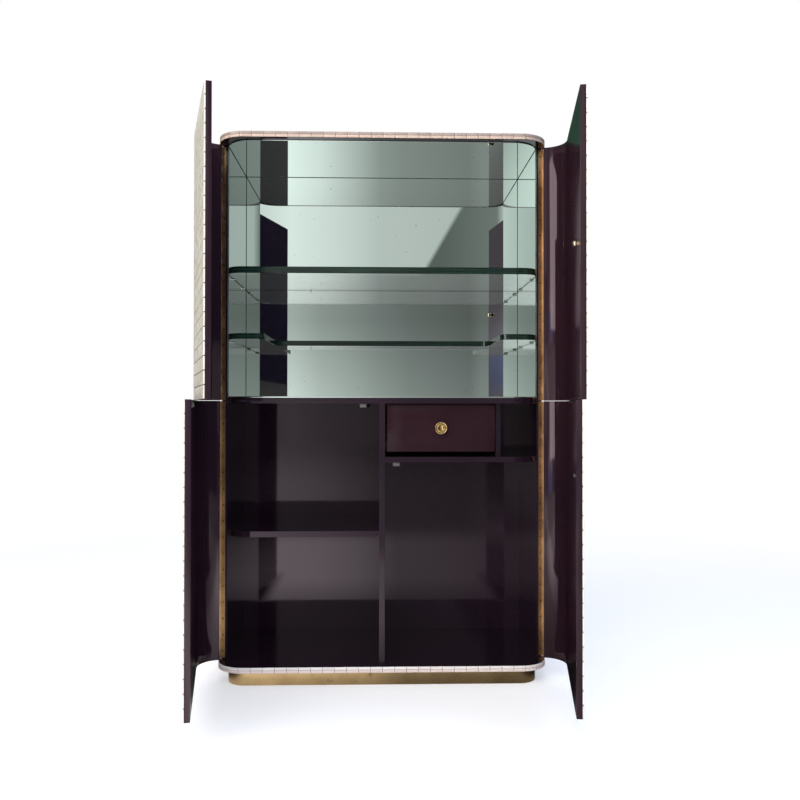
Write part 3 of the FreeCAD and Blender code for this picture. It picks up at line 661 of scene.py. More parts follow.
PIN_NICKEL = Metal(
    "pin_nickel_polished", linear(206, 212, 208), linear(150, 158, 154), (60, 60, 60), 0.16, 0.5
)
# Dark steel: the catches' side tabs and screws, and on the drawer runners and slides a painted shade
# for plain steel that stands in shadow.
DARK_STEEL = Metal(
    "dark_steel_blued", linear(74, 72, 76), linear(44, 42, 46), (60, 300, 60), 0.42, 0.8
)
SCREW_BRASS = Metal(
    "screw_brass_dark", linear(128, 98, 60), linear(58, 42, 26), (90, 90, 90), 0.42, 0.95
)
DRAWER_WOOD = Wood("drawer_wood_stained", linear(112, 78, 66), linear(70, 44, 38), (40, 3, 40), 0.45)
PLINTH_WOOD = Wood("plinth_wood_plain", linear(176, 144, 104), linear(134, 102, 68), (4, 4, 60), 0.65)
SHELL = ShellTile("shell_tile", linear(250, 243, 230), linear(235, 224, 202), linear(182, 168, 140))
BOTTOM_SHELL = ShellTile(
    "bottom_shell_tile", linear(242, 226, 217), linear(232, 212, 201), linear(190, 164, 150), 700, 0.4,
    linear(252, 248, 243), linear(243, 235, 228),
)
TOP_SHELL = ShellTile(
    "top_shell_tile", linear(214, 188, 168), linear(201, 174, 155), linear(150, 124, 108), 1100, 0.45,
    linear(172, 156, 145), linear(160, 144, 134),
)
GROUT = Grout("mosaic_grout", linear(112, 106, 84), linear(68, 62, 46))
EDGE_GROUT = Grout("edge_grout", linear(104, 84, 72), linear(62, 48, 40))
SEAL = Grout("mirror_seal", linear(92, 106, 99), linear(62, 74, 68))

SLOT_FINISHES: dict[str, Finish] = {
    "aubergine_lacquer": SHADED_LACQUER,
    "shell_mosaic": SHELL,
    "edge_mosaic": BOTTOM_SHELL,
    "mirror": MIRROR,
    "shelf_glass": SHELF_GLASS,
    "plinth_brass": PLINTH_BRASS,
    "hinge_brass": HINGE_BRASS,
    "knob_brass": KNOB_BRASS,
    "catch_steel": CATCH_STEEL,
    "drawer_wood": DRAWER_WOOD,
    "plinth_wood": PLINTH_WOOD,
}
NODE_FINISHES: dict[str, Finish] = {
    # The drawer runners and slides take the dark steel as painted shade: they stand in shadow behind
    # the drawer front.
    "drawer_runners": DARK_STEEL,
    "drawer_slides": DARK_STEEL,
    "glass_shelf_pins": PIN_NICKEL,
}


def deselect() -> None:
    """Leave edit mode and deselect everything, since operators act on all that is selected."""
    if bpy.context.object is not None and bpy.context.object.mode != "OBJECT":
        bpy.ops.object.mode_set(mode="OBJECT")
    bpy.ops.object.select_all(action="DESELECT")


def take(*pieces: bpy.types.Object) -> None:
    """Select these pieces alone and make the first one active.

    Args:
        *pieces: The pieces.
    """
    deselect()
    for piece in pieces:
        piece.select_set(True)
    bpy.context.view_layer.objects.active = pieces[0]


def settle(piece: bpy.types.Object) -> None:
    """Put a piece's place, turn and scale into its mesh."""
    take(piece)
    bpy.ops.object.transform_apply(location=True, rotation=True, scale=True)


def apply_modifiers(piece: bpy.types.Object) -> None:
    """Apply a piece's modifiers in order.

    Args:
        piece: The piece.
    """
    take(piece)
    for modifier in list(piece.modifiers):
        bpy.ops.object.modifier_apply(modifier=modifier.name)


def smooth(piece: bpy.types.Object, angle: float = SMOOTH_ANGLE) -> None:
    """Smooth a piece's shading except over edges sharper than angle."""
    take(piece)
    bpy.ops.object.shade_smooth_by_angle(angle=angle)


def join(name: str, pieces: list[bpy.types.Object]) -> bpy.types.Object:
    """Make one piece out of several.

    Args:
        name: The new piece's name.
        pieces: The pieces, which go into the first.

    Returns:
        The joined piece.
    """
    take(*pieces)
    if len(pieces) > 1:
        bpy.ops.object.join()
    pieces[0].name = name
    pieces[0].data.name = name
    return pieces[0]


def shift(piece: bpy.types.Object, *by: float) -> None:
    """Move a piece's mesh."""
    piece.data.transform(Matrix.Translation(by))


def in_mm(rings: tuple[Point, ...]) -> list[Point]:
    """Turn a profile drawn in millimetres into metres."""
    return [(wide * MM, tall * MM) for wide, tall in rings]


def block(place: Point3, size: Point3) -> bpy.types.Object:
    """Make a plain block to cut with.

    Args:
        place: Its middle.
        size: Its size along each axis.

    Returns:
        The block.
    """
    deselect()
    bpy.ops.mesh.primitive_cube_add(size=1, location=place)
    cutter = bpy.context.object
    cutter.scale = size
    settle(cutter)
    return cutter


def carve(piece: bpy.types.Object, cutter: bpy.types.Object, way: str, solver: str = "EXACT") -> None:
    """Cut a piece with another one, which is taken away.

    Args:
        piece: The piece to cut.
        cutter: The closed piece to cut it with.
        way: DIFFERENCE or INTERSECT.
        solver: The Boolean modifier's solver.
    """
    cut = piece.modifiers.new("cut", "BOOLEAN")
    cut.operation = way
    cut.solver = solver
    cut.object = cutter
    apply_modifiers(piece)
    bpy.data.objects.remove(cutter)


def dress(piece: bpy.types.Object, *finishes: Finish) -> bpy.types.Object:
    """Give a new piece its finishes.

    Args:
        piece: The piece.
        *finishes: The finishes, in the order of its material slots.

    Returns:
        The piece.
    """
    piece.data.materials.clear()
    for finish in finishes:
        piece.data.materials.append(finish.material())
    return piece


def copies(piece: bpy.types.Object, moves: list[Matrix]) -> list[bpy.types.Object]:
    """Copy a piece, each copy with its own mesh, and take the pattern away.

    Args:
        piece: The pattern, at the origin.
        moves: Where each copy goes.

    Returns:
        The copies.
    """
    made = []
    for move in moves:
        copy = piece.copy()
        copy.data = piece.data.copy()
        copy.data.transform(move)
        bpy.context.scene.collection.objects.link(copy)
        made.append(copy)
    bpy.data.objects.remove(piece)
    return made


def outward(piece: bpy.types.Object) -> None:
    """Merge a piece's doubles and turn its faces outwards.

    Args:
        piece: The closed piece.
    """
    take(piece)
    bpy.ops.object.mode_set(mode="EDIT")
    bpy.ops.mesh.select_all(action="SELECT")
    bpy.ops.mesh.remove_doubles(threshold=MERGE)
    bpy.ops.mesh.normals_make_consistent(inside=False)
    bpy.ops.object.mode_set(mode="OBJECT")


def fit(piece: bpy.types.Object, body: str, slot: str, *nodes: str) -> None:
    """Let a piece ride on its body and stand for its CAD nodes.

    Args:
        piece: The finished piece.
        body: The CAD body that it moves with.
        slot: The record's material slot; not used.
        *nodes: The CAD nodes that it stands for.
    """
    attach(piece, body)
    if nodes:
        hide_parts(*nodes)
    LOG.info("piece %s, %d faces, on %s", piece.name, len(piece.data.polygons), body)


def rounded_line(corners: list[Point], radius: float, steps: int = 60) -> list[Point]:
    """Round the inner corners of a plan line.

    Args:
        corners: The line's corners, in metres, with square turns.
        radius: The radius at each inner corner.
        steps: Straight steps in a quarter turn.

    Returns:
        The points of the rounded line.
    """
    points = [Vector(corners[0])]
    for before, corner, after in zip(corners, corners[1:], corners[2:]):
        middle = Vector(corner)
        back = (Vector(before) - middle).normalized()
        on = (Vector(after) - middle).normalized()
        centre = middle + (back + on) * radius
        for step in range(steps + 1):
            angle = QUARTER * step / steps
            points.append(centre - on * radius * math.cos(angle) - back * radius * math.sin(angle))
    points.append(Vector(corners[-1]))
    return [(point.x, point.y) for point in points]


def line_length(points: list[Point]) -> float:
    """Add up the runs of a plan line."""
    return sum((Vector(b) - Vector(a)).length for a, b in zip(points, points[1:]))


def wrap(piece: bpy.types.Object, points: list[Point], bottom: float) -> None:
    """Bend a flat piece, drawn along X from 0, along a plan line with its front outside.

    Args:
        piece: A flat piece that stands up with its front towards -Y.
        points: The plan line of the front's zero plane.
        bottom: Height of its lower edge.
    """
    curve = bpy.data.curves.new("wrap_line", "CURVE")
    curve.dimensions = "3D"
    curve.twist_mode = "Z_UP"
    curve.use_deform_bounds = False
    spline = curve.splines.new("POLY")
    spline.points.add(len(points) - 1)
    for point, (x, y) in zip(spline.points, points):
        point.co = (x, y, 0, 1)
    line = bpy.data.objects.new("wrap_line", curve)
    bpy.context.scene.collection.objects.link(line)
    modifier = piece.modifiers.new("wrap", "CURVE")
    modifier.object = line
    modifier.deform_axis = "POS_X"
    apply_modifiers(piece)
    bpy.data.objects.remove(line)
    shift(piece, 0, 0, bottom)
    smooth(piece)


def slab(
    name: str, length: float, height: float, near: float, far: float, columns: int, rounding: float
) -> bpy.types.Object:
    """Model a flat slab that stands up, with eased edges and upright divisions to bend it by.

    Args:
        name: The slab's name.
        length: Its length along X, from 0.
        height: Its height, from 0.
        near: Y of its front.
        far: Y of its back.
        columns: Divisions along X.
        rounding: Radius of its edges, or 0 for square ones.

    Returns:
        The slab.
    """
    deselect()
    bpy.ops.mesh.primitive_grid_add(
        x_subdivisions=columns, y_subdivisions=1, size=1, rotation=(QUARTER, 0, 0)
    )
    piece = bpy.context.object
    piece.scale = (length, height, 1)
    piece.location = (length / 2, near, height / 2)
    settle(piece)
    solidify = piece.modifiers.new("thickness", "SOLIDIFY")
    solidify.thickness = far - near
    solidify.offset = -1
    apply_modifiers(piece)
    if rounding:
        bpy.ops.object.mode_set(mode="EDIT")
        bpy.ops.mesh.select_mode(type="EDGE")
        bpy.ops.mesh.select_all(action="DESELECT")
        bpy.ops.mesh.edges_select_sharp(sharpness=SHARP_ANGLE)
        bpy.ops.mesh.bevel(offset=rounding, segments=3, affect="EDGES")
        bpy.ops.object.mode_set(mode="OBJECT")
    return join(name, [piece])


def prism(name: str, plan: list[Point], low: float, high: float) -> bpy.types.Object:
    """Raise a plan outline into a closed prism, to cut other pieces with.

    Args:
        name: Its name.
        plan: The outline's points.
        low: Its underside.
        high: Its top.

    Returns:
        The prism.
    """
    mesh = bpy.data.meshes.new(name)
    mesh.from_pydata([(x, y, low) for x, y in plan], [], [list(range(len(plan)))])
    piece = bpy.data.objects.new(name, mesh)
    bpy.context.scene.collection.objects.link(piece)
    take(piece)
    bpy.ops.object.mode_set(mode="EDIT")
    bpy.ops.mesh.select_all(action="SELECT")
    bpy.ops.mesh.extrude_region_move(TRANSFORM_OT_translate={"value": (0, 0, high - low)})
    bpy.ops.object.mode_set(mode="OBJECT")
    outward(piece)
    return piece


def turned(name: str, profile: list[Point], segments: int = 48) -> bpy.types.Object:
    """Turn a piece about Z from a profile, by extruding and scaling a disc step by step.

    Args:
        name: The piece's name.
        profile: Radius and height of each ring, from the foot to the tip.
        segments: Flats round the piece.

    Returns:
        The closed piece.
    """
    radius, height = profile[0]
    deselect()
    bpy.ops.mesh.primitive_circle_add(
        vertices=segments, radius=radius, fill_type="NGON", location=(0, 0, height)
    )
    piece = bpy.context.object
    settle(piece)
    bpy.ops.object.mode_set(mode="EDIT")
    bpy.ops.mesh.select_all(action="SELECT")
    bpy.ops.mesh.extrude_region()
    for wide, tall in profile[1:]:
        bpy.ops.transform.translate(value=(0, 0, tall - height))
        share = wide / radius
        bpy.ops.transform.resize(value=(share, share, 1), center_override=(0, 0, tall))
        radius, height = wide, tall
        if (wide, tall) != profile[-1]:
            bpy.ops.mesh.extrude_region()
    bpy.ops.object.mode_set(mode="OBJECT")
    outward(piece)
    return join(name, [piece])


@dataclass(frozen=True)
class Screw:
    """A slotted countersunk screw: the radii of head and shank, its length and its cone's height."""

    head: float
    shank: float
    length: float
    sink: float
    finish: Finish
    flats: int = 14
    dome_share: float = 0.06
    tip_share: float = 0.4
    taper_share: float = 0.82
    rim_share: float = 0.92
    crown: Point = (0.5, 0.9)
    slot: Point3 = (2.6, 0.28, 0.62)

    def pattern(self) -> bpy.types.Object:
        """Model one screw, its face at Z = 0 and its shank down.

        Returns:
            The screw.
        """
        head, shank = self.head, self.shank
        dome = head * self.dome_share
        profile = [
            (shank * self.tip_share, -self.length),
            (shank, -self.length * self.taper_share),
            (shank, -self.sink),
            (head, -dome),
            (head * self.rim_share, 0.0),
            (head * self.crown[0], dome * self.crown[1]),
        ]
        screw = turned("screw", profile, self.flats)
        slot = block((0, 0, dome), tuple(head * share for share in self.slot))
        carve(screw, slot, "DIFFERENCE")
        return screw

    def drive(self, name: str, places: list[Point3], way: Point3, seed: int) -> bpy.types.Object:
        """Set screws with their heads at the given places, each slot turned differently.

        Args:
            name: Name of the joined piece.
            places: Middle of each head's face.
            way: The direction that the heads face.
            seed: Source of the slots' turns.

        Returns:
            The screws as one piece.
        """
        draw = random.Random(seed)
        face = Vector(way).to_track_quat("Z", "Y").to_matrix().to_4x4()
        moves = [
            Matrix.Translation(place) @ face @ Matrix.Rotation(draw.uniform(0, math.pi), 4, "Z")
            for place in places
        ]
        piece = join(name, copies(self.pattern(), moves))
        smooth(piece)
        return dress(piece, self.finish)


HINGE_SCREW = Screw(2.55 * MM, 1.35 * MM, 13.9 * MM, 1.2 * MM, SCREW_BRASS)
CATCH_SCREW = Screw(2.4 * MM, 0.9 * MM, 5 * MM, 0.9 * MM, DARK_STEEL)
BACK_SCREW = Screw(3.6 * MM, 1.7 * MM, 12 * MM, 2.0 * MM, SCREW_BRASS)


def carry_uv(piece: bpy.types.Object, offset: float) -> None:
    """Store a flat sheet's own X and Z as its UV map, in metres.

    Args:
        piece: The flat piece.
        offset: Added to both, so that like sheets don't show the same pattern.
    """
    mesh = piece.data
    layer = mesh.uv_layers.get(SHEET_UV) or mesh.uv_layers.new(name=SHEET_UV)
    places = np.zeros(len(mesh.vertices) * 3)
    mesh.vertices.foreach_get("co", places)
    corners = np.zeros(len(mesh.loops), dtype=np.int64)
    mesh.loops.foreach_get("vertex_index", corners)
    flat = places.reshape(-1, 3)[corners][:, (0, 2)] + offset
    layer.data.foreach_set("uv", flat.ravel())


@dataclass
class Mosaic:
    """A sheet of small tiles in rows on a bed of grout, modelled flat and then wrapped."""

    name: str
    length: float
    height: float
    columns: int
    rows: int
    thickness: float
    tile_finish: Finish
    grout_finish: Finish
    bond: Bond = Bond.RUNNING
    seed: int = 1
    cells: int = 1
    joint: float = 0.9 * MM
    row_joint: float = 2.3 * MM
    recess: float = 1.5 * MM
    arris: float = 0.8 * MM
    crown: float = 0.22 * MM
    lift: float = 0.07 * MM
    tilt: float = 0.003
    clearance: float = 0.1 * MM
    bed_setback: float = 0.5 * MM
    bed_columns: int = 40

    @property
    def pitch(self) -> float:
        """Give the run of one tile and its joint."""
        return (self.length + self.joint) / self.columns

    @property
    def rise(self) -> float:
        """Give the height of one row and its joint."""
        return (self.height + self.row_joint) / self.rows

    def tile(self, width: float) -> bpy.types.Object:
        """Model one tile with a crowned face and eased edges, from the origin.

        Args:
            width: The run that this tile and its joint fill.

        Returns:
            The tile.
        """
        run, rise = width - self.joint, self.rise - self.row_joint
        deselect()
        bpy.ops.mesh.primitive_grid_add(
            x_subdivisions=self.cells, y_subdivisions=1, size=1, rotation=(QUARTER, 0, 0)
        )
        piece = bpy.context.object
        piece.scale = (run, rise, 1)
        piece.location = (run / 2, -(self.thickness - self.crown), rise / 2)
        settle(piece)
        bpy.ops.object.mode_set(mode="EDIT")
        bpy.ops.mesh.select_all(action="SELECT")
        bpy.ops.mesh.inset(thickness=self.arris, depth=self.crown)
        bpy.ops.object.mode_set(mode="OBJECT")
        solidify = piece.modifiers.new("thickness", "SOLIDIFY")
        solidify.thickness = self.thickness - self.crown - self.lift - self.clearance
        solidify.offset = -1
        apply_modifiers(piece)
        return piece

    def field_of(
        self, width: float, start: float, count: int, first_row: int, row_step: int, draw: random.Random
    ) -> bpy.types.Object:
        """Lay one size of tile over the sheet with two arrays, then give each its own tone and set.

        Args:
            width: The run of these tiles and their joints.
            start: Where the first tile starts along X.
            count: How many stand in a row.
            first_row: The first row that holds them.
            row_step: Rows from one such row to the next.
            draw: The source of the differences between tiles.

        Returns:
            The tiles as one piece.
        """
        piece = self.tile(width)
        per_tile = len(piece.data.vertices)
        row_numbers = list(range(first_row, self.rows, row_step))
        steps = ((count, (width, 0, 0)), (len(row_numbers), (0, 0, self.rise * row_step)))
        for number, step in steps:
            array = piece.modifiers.new("array", "ARRAY")
            array.count = number
            array.use_relative_offset = False
            array.use_constant_offset = True
            array.constant_offset_displace = step
        apply_modifiers(piece)
        mesh = piece.data
        shift(piece, start, 0, first_row * self.rise)
        places = np.zeros(len(mesh.vertices) * 3)
        mesh.vertices.foreach_get("co", places)
        places = places.reshape(-1, per_tile, 3)
        drawn = np.array([[draw.random() for _ in range(5)] for _ in range(len(places))])
        offset = places - places.mean(axis=1, keepdims=True)
        places[:, :, 1] += (
            (drawn[:, None, 0] - 0.5) * 2 * self.lift
            + offset[:, :, 0] * (drawn[:, None, 1] - 0.5) * 2 * self.tilt
            + offset[:, :, 2] * (drawn[:, None, 2] - 0.5) * 2 * self.tilt
        )
        mesh.vertices.foreach_set("co", places.ravel())
        shares = np.repeat(np.array(row_numbers) / max(1, self.rows - 1), count)
        for name, values in (
            ("tile_tone", drawn[:, 3]), ("tile_turn", drawn[:, 4]), ("tile_row", shares)
        ):
            layer = mesh.attributes.new(name, "FLOAT", "POINT")
            layer.data.foreach_set("value", np.repeat(values, per_tile))
        return piece

    def bed(self) -> bpy.types.Object:
        """Model the grout bed, a little short of the tiles all round.

        Returns:
            The bed.
        """
        margin = self.bed_setback
        length, height = self.length - 2 * margin, self.height - 2 * margin
        piece = slab("bed", length, height, self.recess - self.thickness, 0.0, self.bed_columns, 0)
        shift(piece, margin, 0, margin)
        return dress(piece, self.grout_finish)

    def flat(self) -> bpy.types.Object:
        """Model the whole flat sheet, from the origin along X and Z, with its back at Y = 0.

        Returns:
            The sheet.
        """
        draw = random.Random(self.seed)
        pitch, step = self.pitch, self.bond.value
        fields = [self.field_of(pitch, 0, self.columns, 0, step, draw)]
        if self.bond is Bond.RUNNING and self.rows > 1:
            half = pitch / 2
            last = self.length + self.joint - half
            fields.append(self.field_of(pitch, half, self.columns - 1, 1, step, draw))
            fields.append(self.field_of(half, 0, 1, 1, step, draw))
            fields.append(self.field_of(half, last, 1, 1, step, draw))
        for piece in fields:
            dress(piece, self.tile_finish)
        sheet = join(self.name, [*fields, self.bed()])
        carry_uv(sheet, self.seed * 0.37)
        return sheet

    def wrapped(self, points: list[Point], bottom: float) -> bpy.types.Object:
        """Model the sheet and wrap it along a plan line.

        Args:
            points: The plan line of the sheet's back.
            bottom: Height of its lower edge.

        Returns:
            The sheet in place.
        """
        sheet = self.flat()
        wrap(sheet, points, bottom)
        return sheet


STOP_RINGS: tuple[Point, ...] = (
    (7.2, 0), (7.5, 0.4), (7.5, 1.8), (6.6, 2.3), (5.2, 2.6), (5.0, 3.6), (5.9, 4.2), (7.4, 5.4),
    (8.2, 7.4), (8.3, 9.4), (7.9, 11.4), (6.9, 13.0), (5.3, 14.1), (3.0, 14.8), (1.2, 15.0),
)
STRIKE_RINGS: tuple[Point, ...] = (
    (6.8, 0), (7.0, 0.3), (7.0, 1.9), (6.5, 2.4), (5.2, 2.5), (4.6, 2.6), (4.5, 3.9), (4.0, 4.3),
    (2.2, 4.5),
)
ROLLER_RINGS: tuple[Point, ...] = ((2.2, -7.8), (2.9, -7.2), (2.9, 7.2), (2.2, 7.8))


@dataclass
class Door:
    """One bent door: a lacquered core, a mosaic skin, hinge screws and a stud or strike."""

    level: Level
    side: Side
    overhang: float = 4 * MM
    skin: float = 4 * MM
    thickness: float = 19 * MM
    corner: float = 81 * MM
    rear_y: float = -126.6 * MM
    free_x: float = 1.5 * MM
    rounding: float = 0.6 * MM
    tile_columns: int = 15
    tile_rows: int = 22
    core_columns: int = 90
    screw_x: float = 489.3 * MM
    screw_y: float = -125.4 * MM
    screw_margin: float = 20 * MM
    screw_count: int = 16
    stop_place: Point3 = (40 * MM, -192 * MM, 1248.5 * MM)
    strike_x: dict[Side, float] = field(
        default_factory=lambda: {Side.LEFT: 59 * MM, Side.RIGHT: 41 * MM}
    )
    strike_z: dict[Side, float] = field(
        default_factory=lambda: {Side.LEFT: 839 * MM, Side.RIGHT: 662 * MM}
    )

    @property
    def key(self) -> str:
        """Give the start of the door's node names."""
        return f"{self.level.value}_{self.side.name.lower()}"

    @property
    def seed(self) -> int:
        """Give the source of what differs from door to door."""
        return sum(map(ord, self.key))

    def span(self) -> tuple[float, float]:
        """Give the door's lower and upper end."""
        low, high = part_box(self.key + "_door_core")
        return low.z, high.z

    def back_line(self, depth: float) -> list[Point]:
        """Give the closed door's plan line at a depth below its outer face.

        Args:
            depth: The depth.

        Returns:
            The line's points, from left to right as seen from outside.
        """
        low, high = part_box("top_edge_band")
        outer_x = high.x - self.overhang - depth
        outer_y = low.y + self.overhang + depth
        corners = [(self.free_x, outer_y), (outer_x, outer_y), (outer_x, self.rear_y)]
        if self.side is Side.LEFT:
            corners = [(-x, y) for x, y in reversed(corners)]
        return rounded_line(corners, self.corner - depth)

    def hang(self, piece: bpy.types.Object, slot: str, part: str) -> None:
        """Swing a piece from closed to how the door stands at rest, and fit it to the door.

        Args:
            piece: The piece, drawn with its door closed.
            slot: The record's material slot.
            part: End of the name of the CAD node that it stands for.
        """
        joint = next(j for j in frame["joints"] if j["name"] == self.key + "_hinge")
        angle = -math.radians(joint["range_deg"][0]) * joint["axis"][2]
        pin = Vector(joint["pos_m"])
        turn = Matrix.Translation(pin) @ Matrix.Rotation(angle, 4, "Z") @ Matrix.Translation(-pin)
        piece.matrix_world = turn @ piece.matrix_world
        settle(piece)
        fit(piece, self.key + "_door", slot, self.key + part)

    def build_core(self) -> None:
        """Model the bent core with eased edges."""
        low, high = self.span()
        line = self.back_line(self.skin)
        name, depth = self.key + "_door_panel", self.thickness - self.skin
        length, columns = line_length(line), self.core_columns
        core = slab(name, length, high - low, 0, depth, columns, self.rounding)
        dress(core, DOOR_LACQUER, EDGE_LACQUER)
        for face in core.data.polygons:
            face.material_index = 0 if abs(face.normal.y) > FLAT_SHARE else 1
        wrap(core, line, low)
        self.hang(core, "aubergine_lacquer", "_door_core")

    def build_skin(self) -> None:
        """Model the mosaic skin."""
        low, high = self.span()
        line = self.back_line(self.skin)
        mosaic = Mosaic(
            name=self.key + "_door_mosaic",
            length=line_length(line),
            height=high - low,
            columns=self.tile_columns,
            rows=self.tile_rows,
            thickness=self.skin,
            tile_finish=SHELL,
            grout_finish=GROUT,
            seed=self.seed,
            cells=4,
            bed_columns=self.core_columns,
        )
        self.hang(mosaic.wrapped(line, low), "shell_mosaic", "_door_skin")

    def screw_places(self, y: float) -> list[Point3]:
        """Give the middles of one leaf's screw heads.

        Args:
            y: Where the heads' faces are.

        Returns:
            The places, with the door closed.
        """
        low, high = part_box(self.key + "_carcass_leaf")
        first, last = low.z + self.screw_margin, high.z - self.screw_margin
        step = (last - first) / (self.screw_count - 1)
        x = self.screw_x * self.side.value
        return [(x, y, first + step * number) for number in range(self.screw_count)]

    def build_screws(self) -> None:
        """Model the screws that hold the hinge leaf to the door."""
        places = self.screw_places(self.screw_y)
        screws = HINGE_SCREW.drive(self.key + "_hinge_screws", places, (0, 1, 0), self.seed)
        self.hang(screws, "hinge_brass", "_door_screws")

    def build_stud(self) -> None:
        """Model the brass stop or steel strike, on a door that has one."""
        if self.key + "_door_stud" not in frame["nodes"]:
            return
        if self.level is Level.UPPER:
            finish, slot, place, rings = STOP_BRASS, "knob_brass", self.stop_place, STOP_RINGS
        else:
            finish, slot, rings = CATCH_STEEL, "catch_steel", STRIKE_RINGS
            x = self.strike_x[self.side] * self.side.value
            place = (x, self.stop_place[1], self.strike_z[self.side])
        stud = turned(self.key + "_door_knob_stop", in_mm(rings), 40)
        stud.data.transform(Matrix.Translation(place) @ Matrix.Rotation(-QUARTER, 4, "X"))
        smooth(stud)
        dress(stud, finish)
        self.hang(stud, slot, "_door_stud")

    def build(self) -> None:
        """Build the door's pieces."""
        self.build_core()
        self.build_skin()
        self.build_screws()
        self.build_stud()


@dataclass
class MosaicShell:
    """The mosaic on the cabinet's sides, its top and round the edges of its plates."""

    tile: float = 35.6 * MM
    side_columns: int = 10
    side_rows: int = 44
    top_columns: int = 28
    top_rows: int = 12
    top_steps: int = 24
    overcut: float = 5 * MM
    top_joint: float = 1.8 * MM
    top_recess: float = 0.7 * MM
    band: float = 3 * MM
    band_corner: float = 85 * MM
    band_joint: float = 1.0 * MM
    band_row_joint: float = 0.7 * MM
    band_recess: float = 0.6 * MM
    band_arris: float = 0.7 * MM
    band_bed: int = 240
    side_seed: int = 40
    band_seed: int = 60
    top_seed: int = 71

    def build_sides(self) -> None:
        """Model the mosaic skins of the side panels."""
        for side in Side:
            node = side.name.lower() + "_side_skin"
            low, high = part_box(node)
            mosaic = Mosaic(
                name=side.name.lower() + "_side_mosaic",
                length=high.y - low.y,
                height=high.z - low.z,
                columns=self.side_columns,
                rows=self.side_rows,
                thickness=high.x - low.x,
                tile_finish=SHELL,
                grout_finish=GROUT,
                seed=self.side_seed + side.value,
                bed_columns=1,
            )
            inner_x = low.x if side is Side.RIGHT else high.x
            line = [(inner_x, low.y), (inner_x, high.y)]
            if side is Side.LEFT:
                line.reverse()
            fit(mosaic.wrapped(line, low.z), "carcass", "shell_mosaic", node)

    def build_bands(self) -> None:
        """Model the mosaic bands round the plates, each of two rows."""
        for number, (plate, finish) in enumerate((("bottom", BOTTOM_SHELL), ("top", TOP_SHELL))):
            node = plate + "_edge_band"
            low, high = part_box(node)
            inset = self.band
            left, right, front = low.x + inset, high.x - inset, low.y + inset
            corners = [(left, high.y), (left, front), (right, front), (right, high.y)]
            line = rounded_line(corners, self.band_corner - inset)
            length = line_length(line)
            mosaic = Mosaic(
                name=plate + "_edge_mosaic",
                length=length,
                height=high.z - low.z,
                columns=round(length / self.tile),
                rows=2,
                thickness=inset,
                tile_finish=finish,
                grout_finish=EDGE_GROUT,
                bond=Bond.STACK,
                seed=self.band_seed + number,
                cells=4,
                joint=self.band_joint,
                row_joint=self.band_row_joint,
                recess=self.band_recess,
                arris=self.band_arris,
                bed_columns=self.band_bed,
            )
            fit(mosaic.wrapped(line, low.z), "carcass", "edge_mosaic", node)

    def build_top(self) -> None:
        """Model the mosaic of the top as a level sheet, cut to the plate's rounded plan."""
        low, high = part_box("top_skin")
        mosaic = Mosaic(
            name="top_mosaic",
            length=high.x - low.x,
            height=high.y - low.y,
            columns=self.top_columns,
            rows=self.top_rows,
            thickness=high.z - low.z,
            tile_finish=SHELL,
            grout_finish=GROUT,
            seed=self.top_seed,
            recess=self.top_recess,
            row_joint=self.top_joint,
            bed_columns=1,
        )
        sheet = mosaic.flat()
        sheet.data.transform(Matrix.Translation(low) @ Matrix.Rotation(-QUARTER, 4, "X"))
        past, deep = high.y + self.overcut, self.overcut
        corners = [(low.x, past), (low.x, low.y), (high.x, low.y), (high.x, past)]
        plan = rounded_line(corners, self.band_corner - self.band, self.top_steps)
        cutter = prism("top_cutter", plan, low.z - deep, high.z + deep)
        carve(sheet, cutter, "INTERSECT", "MANIFOLD")
        smooth(sheet)
        fit(sheet, "carcass", "shell_mosaic", "top_skin")

    def build(self) -> None:
        """Build the mosaic of the carcass."""
        self.build_sides()
        self.build_bands()
        self.build_top()


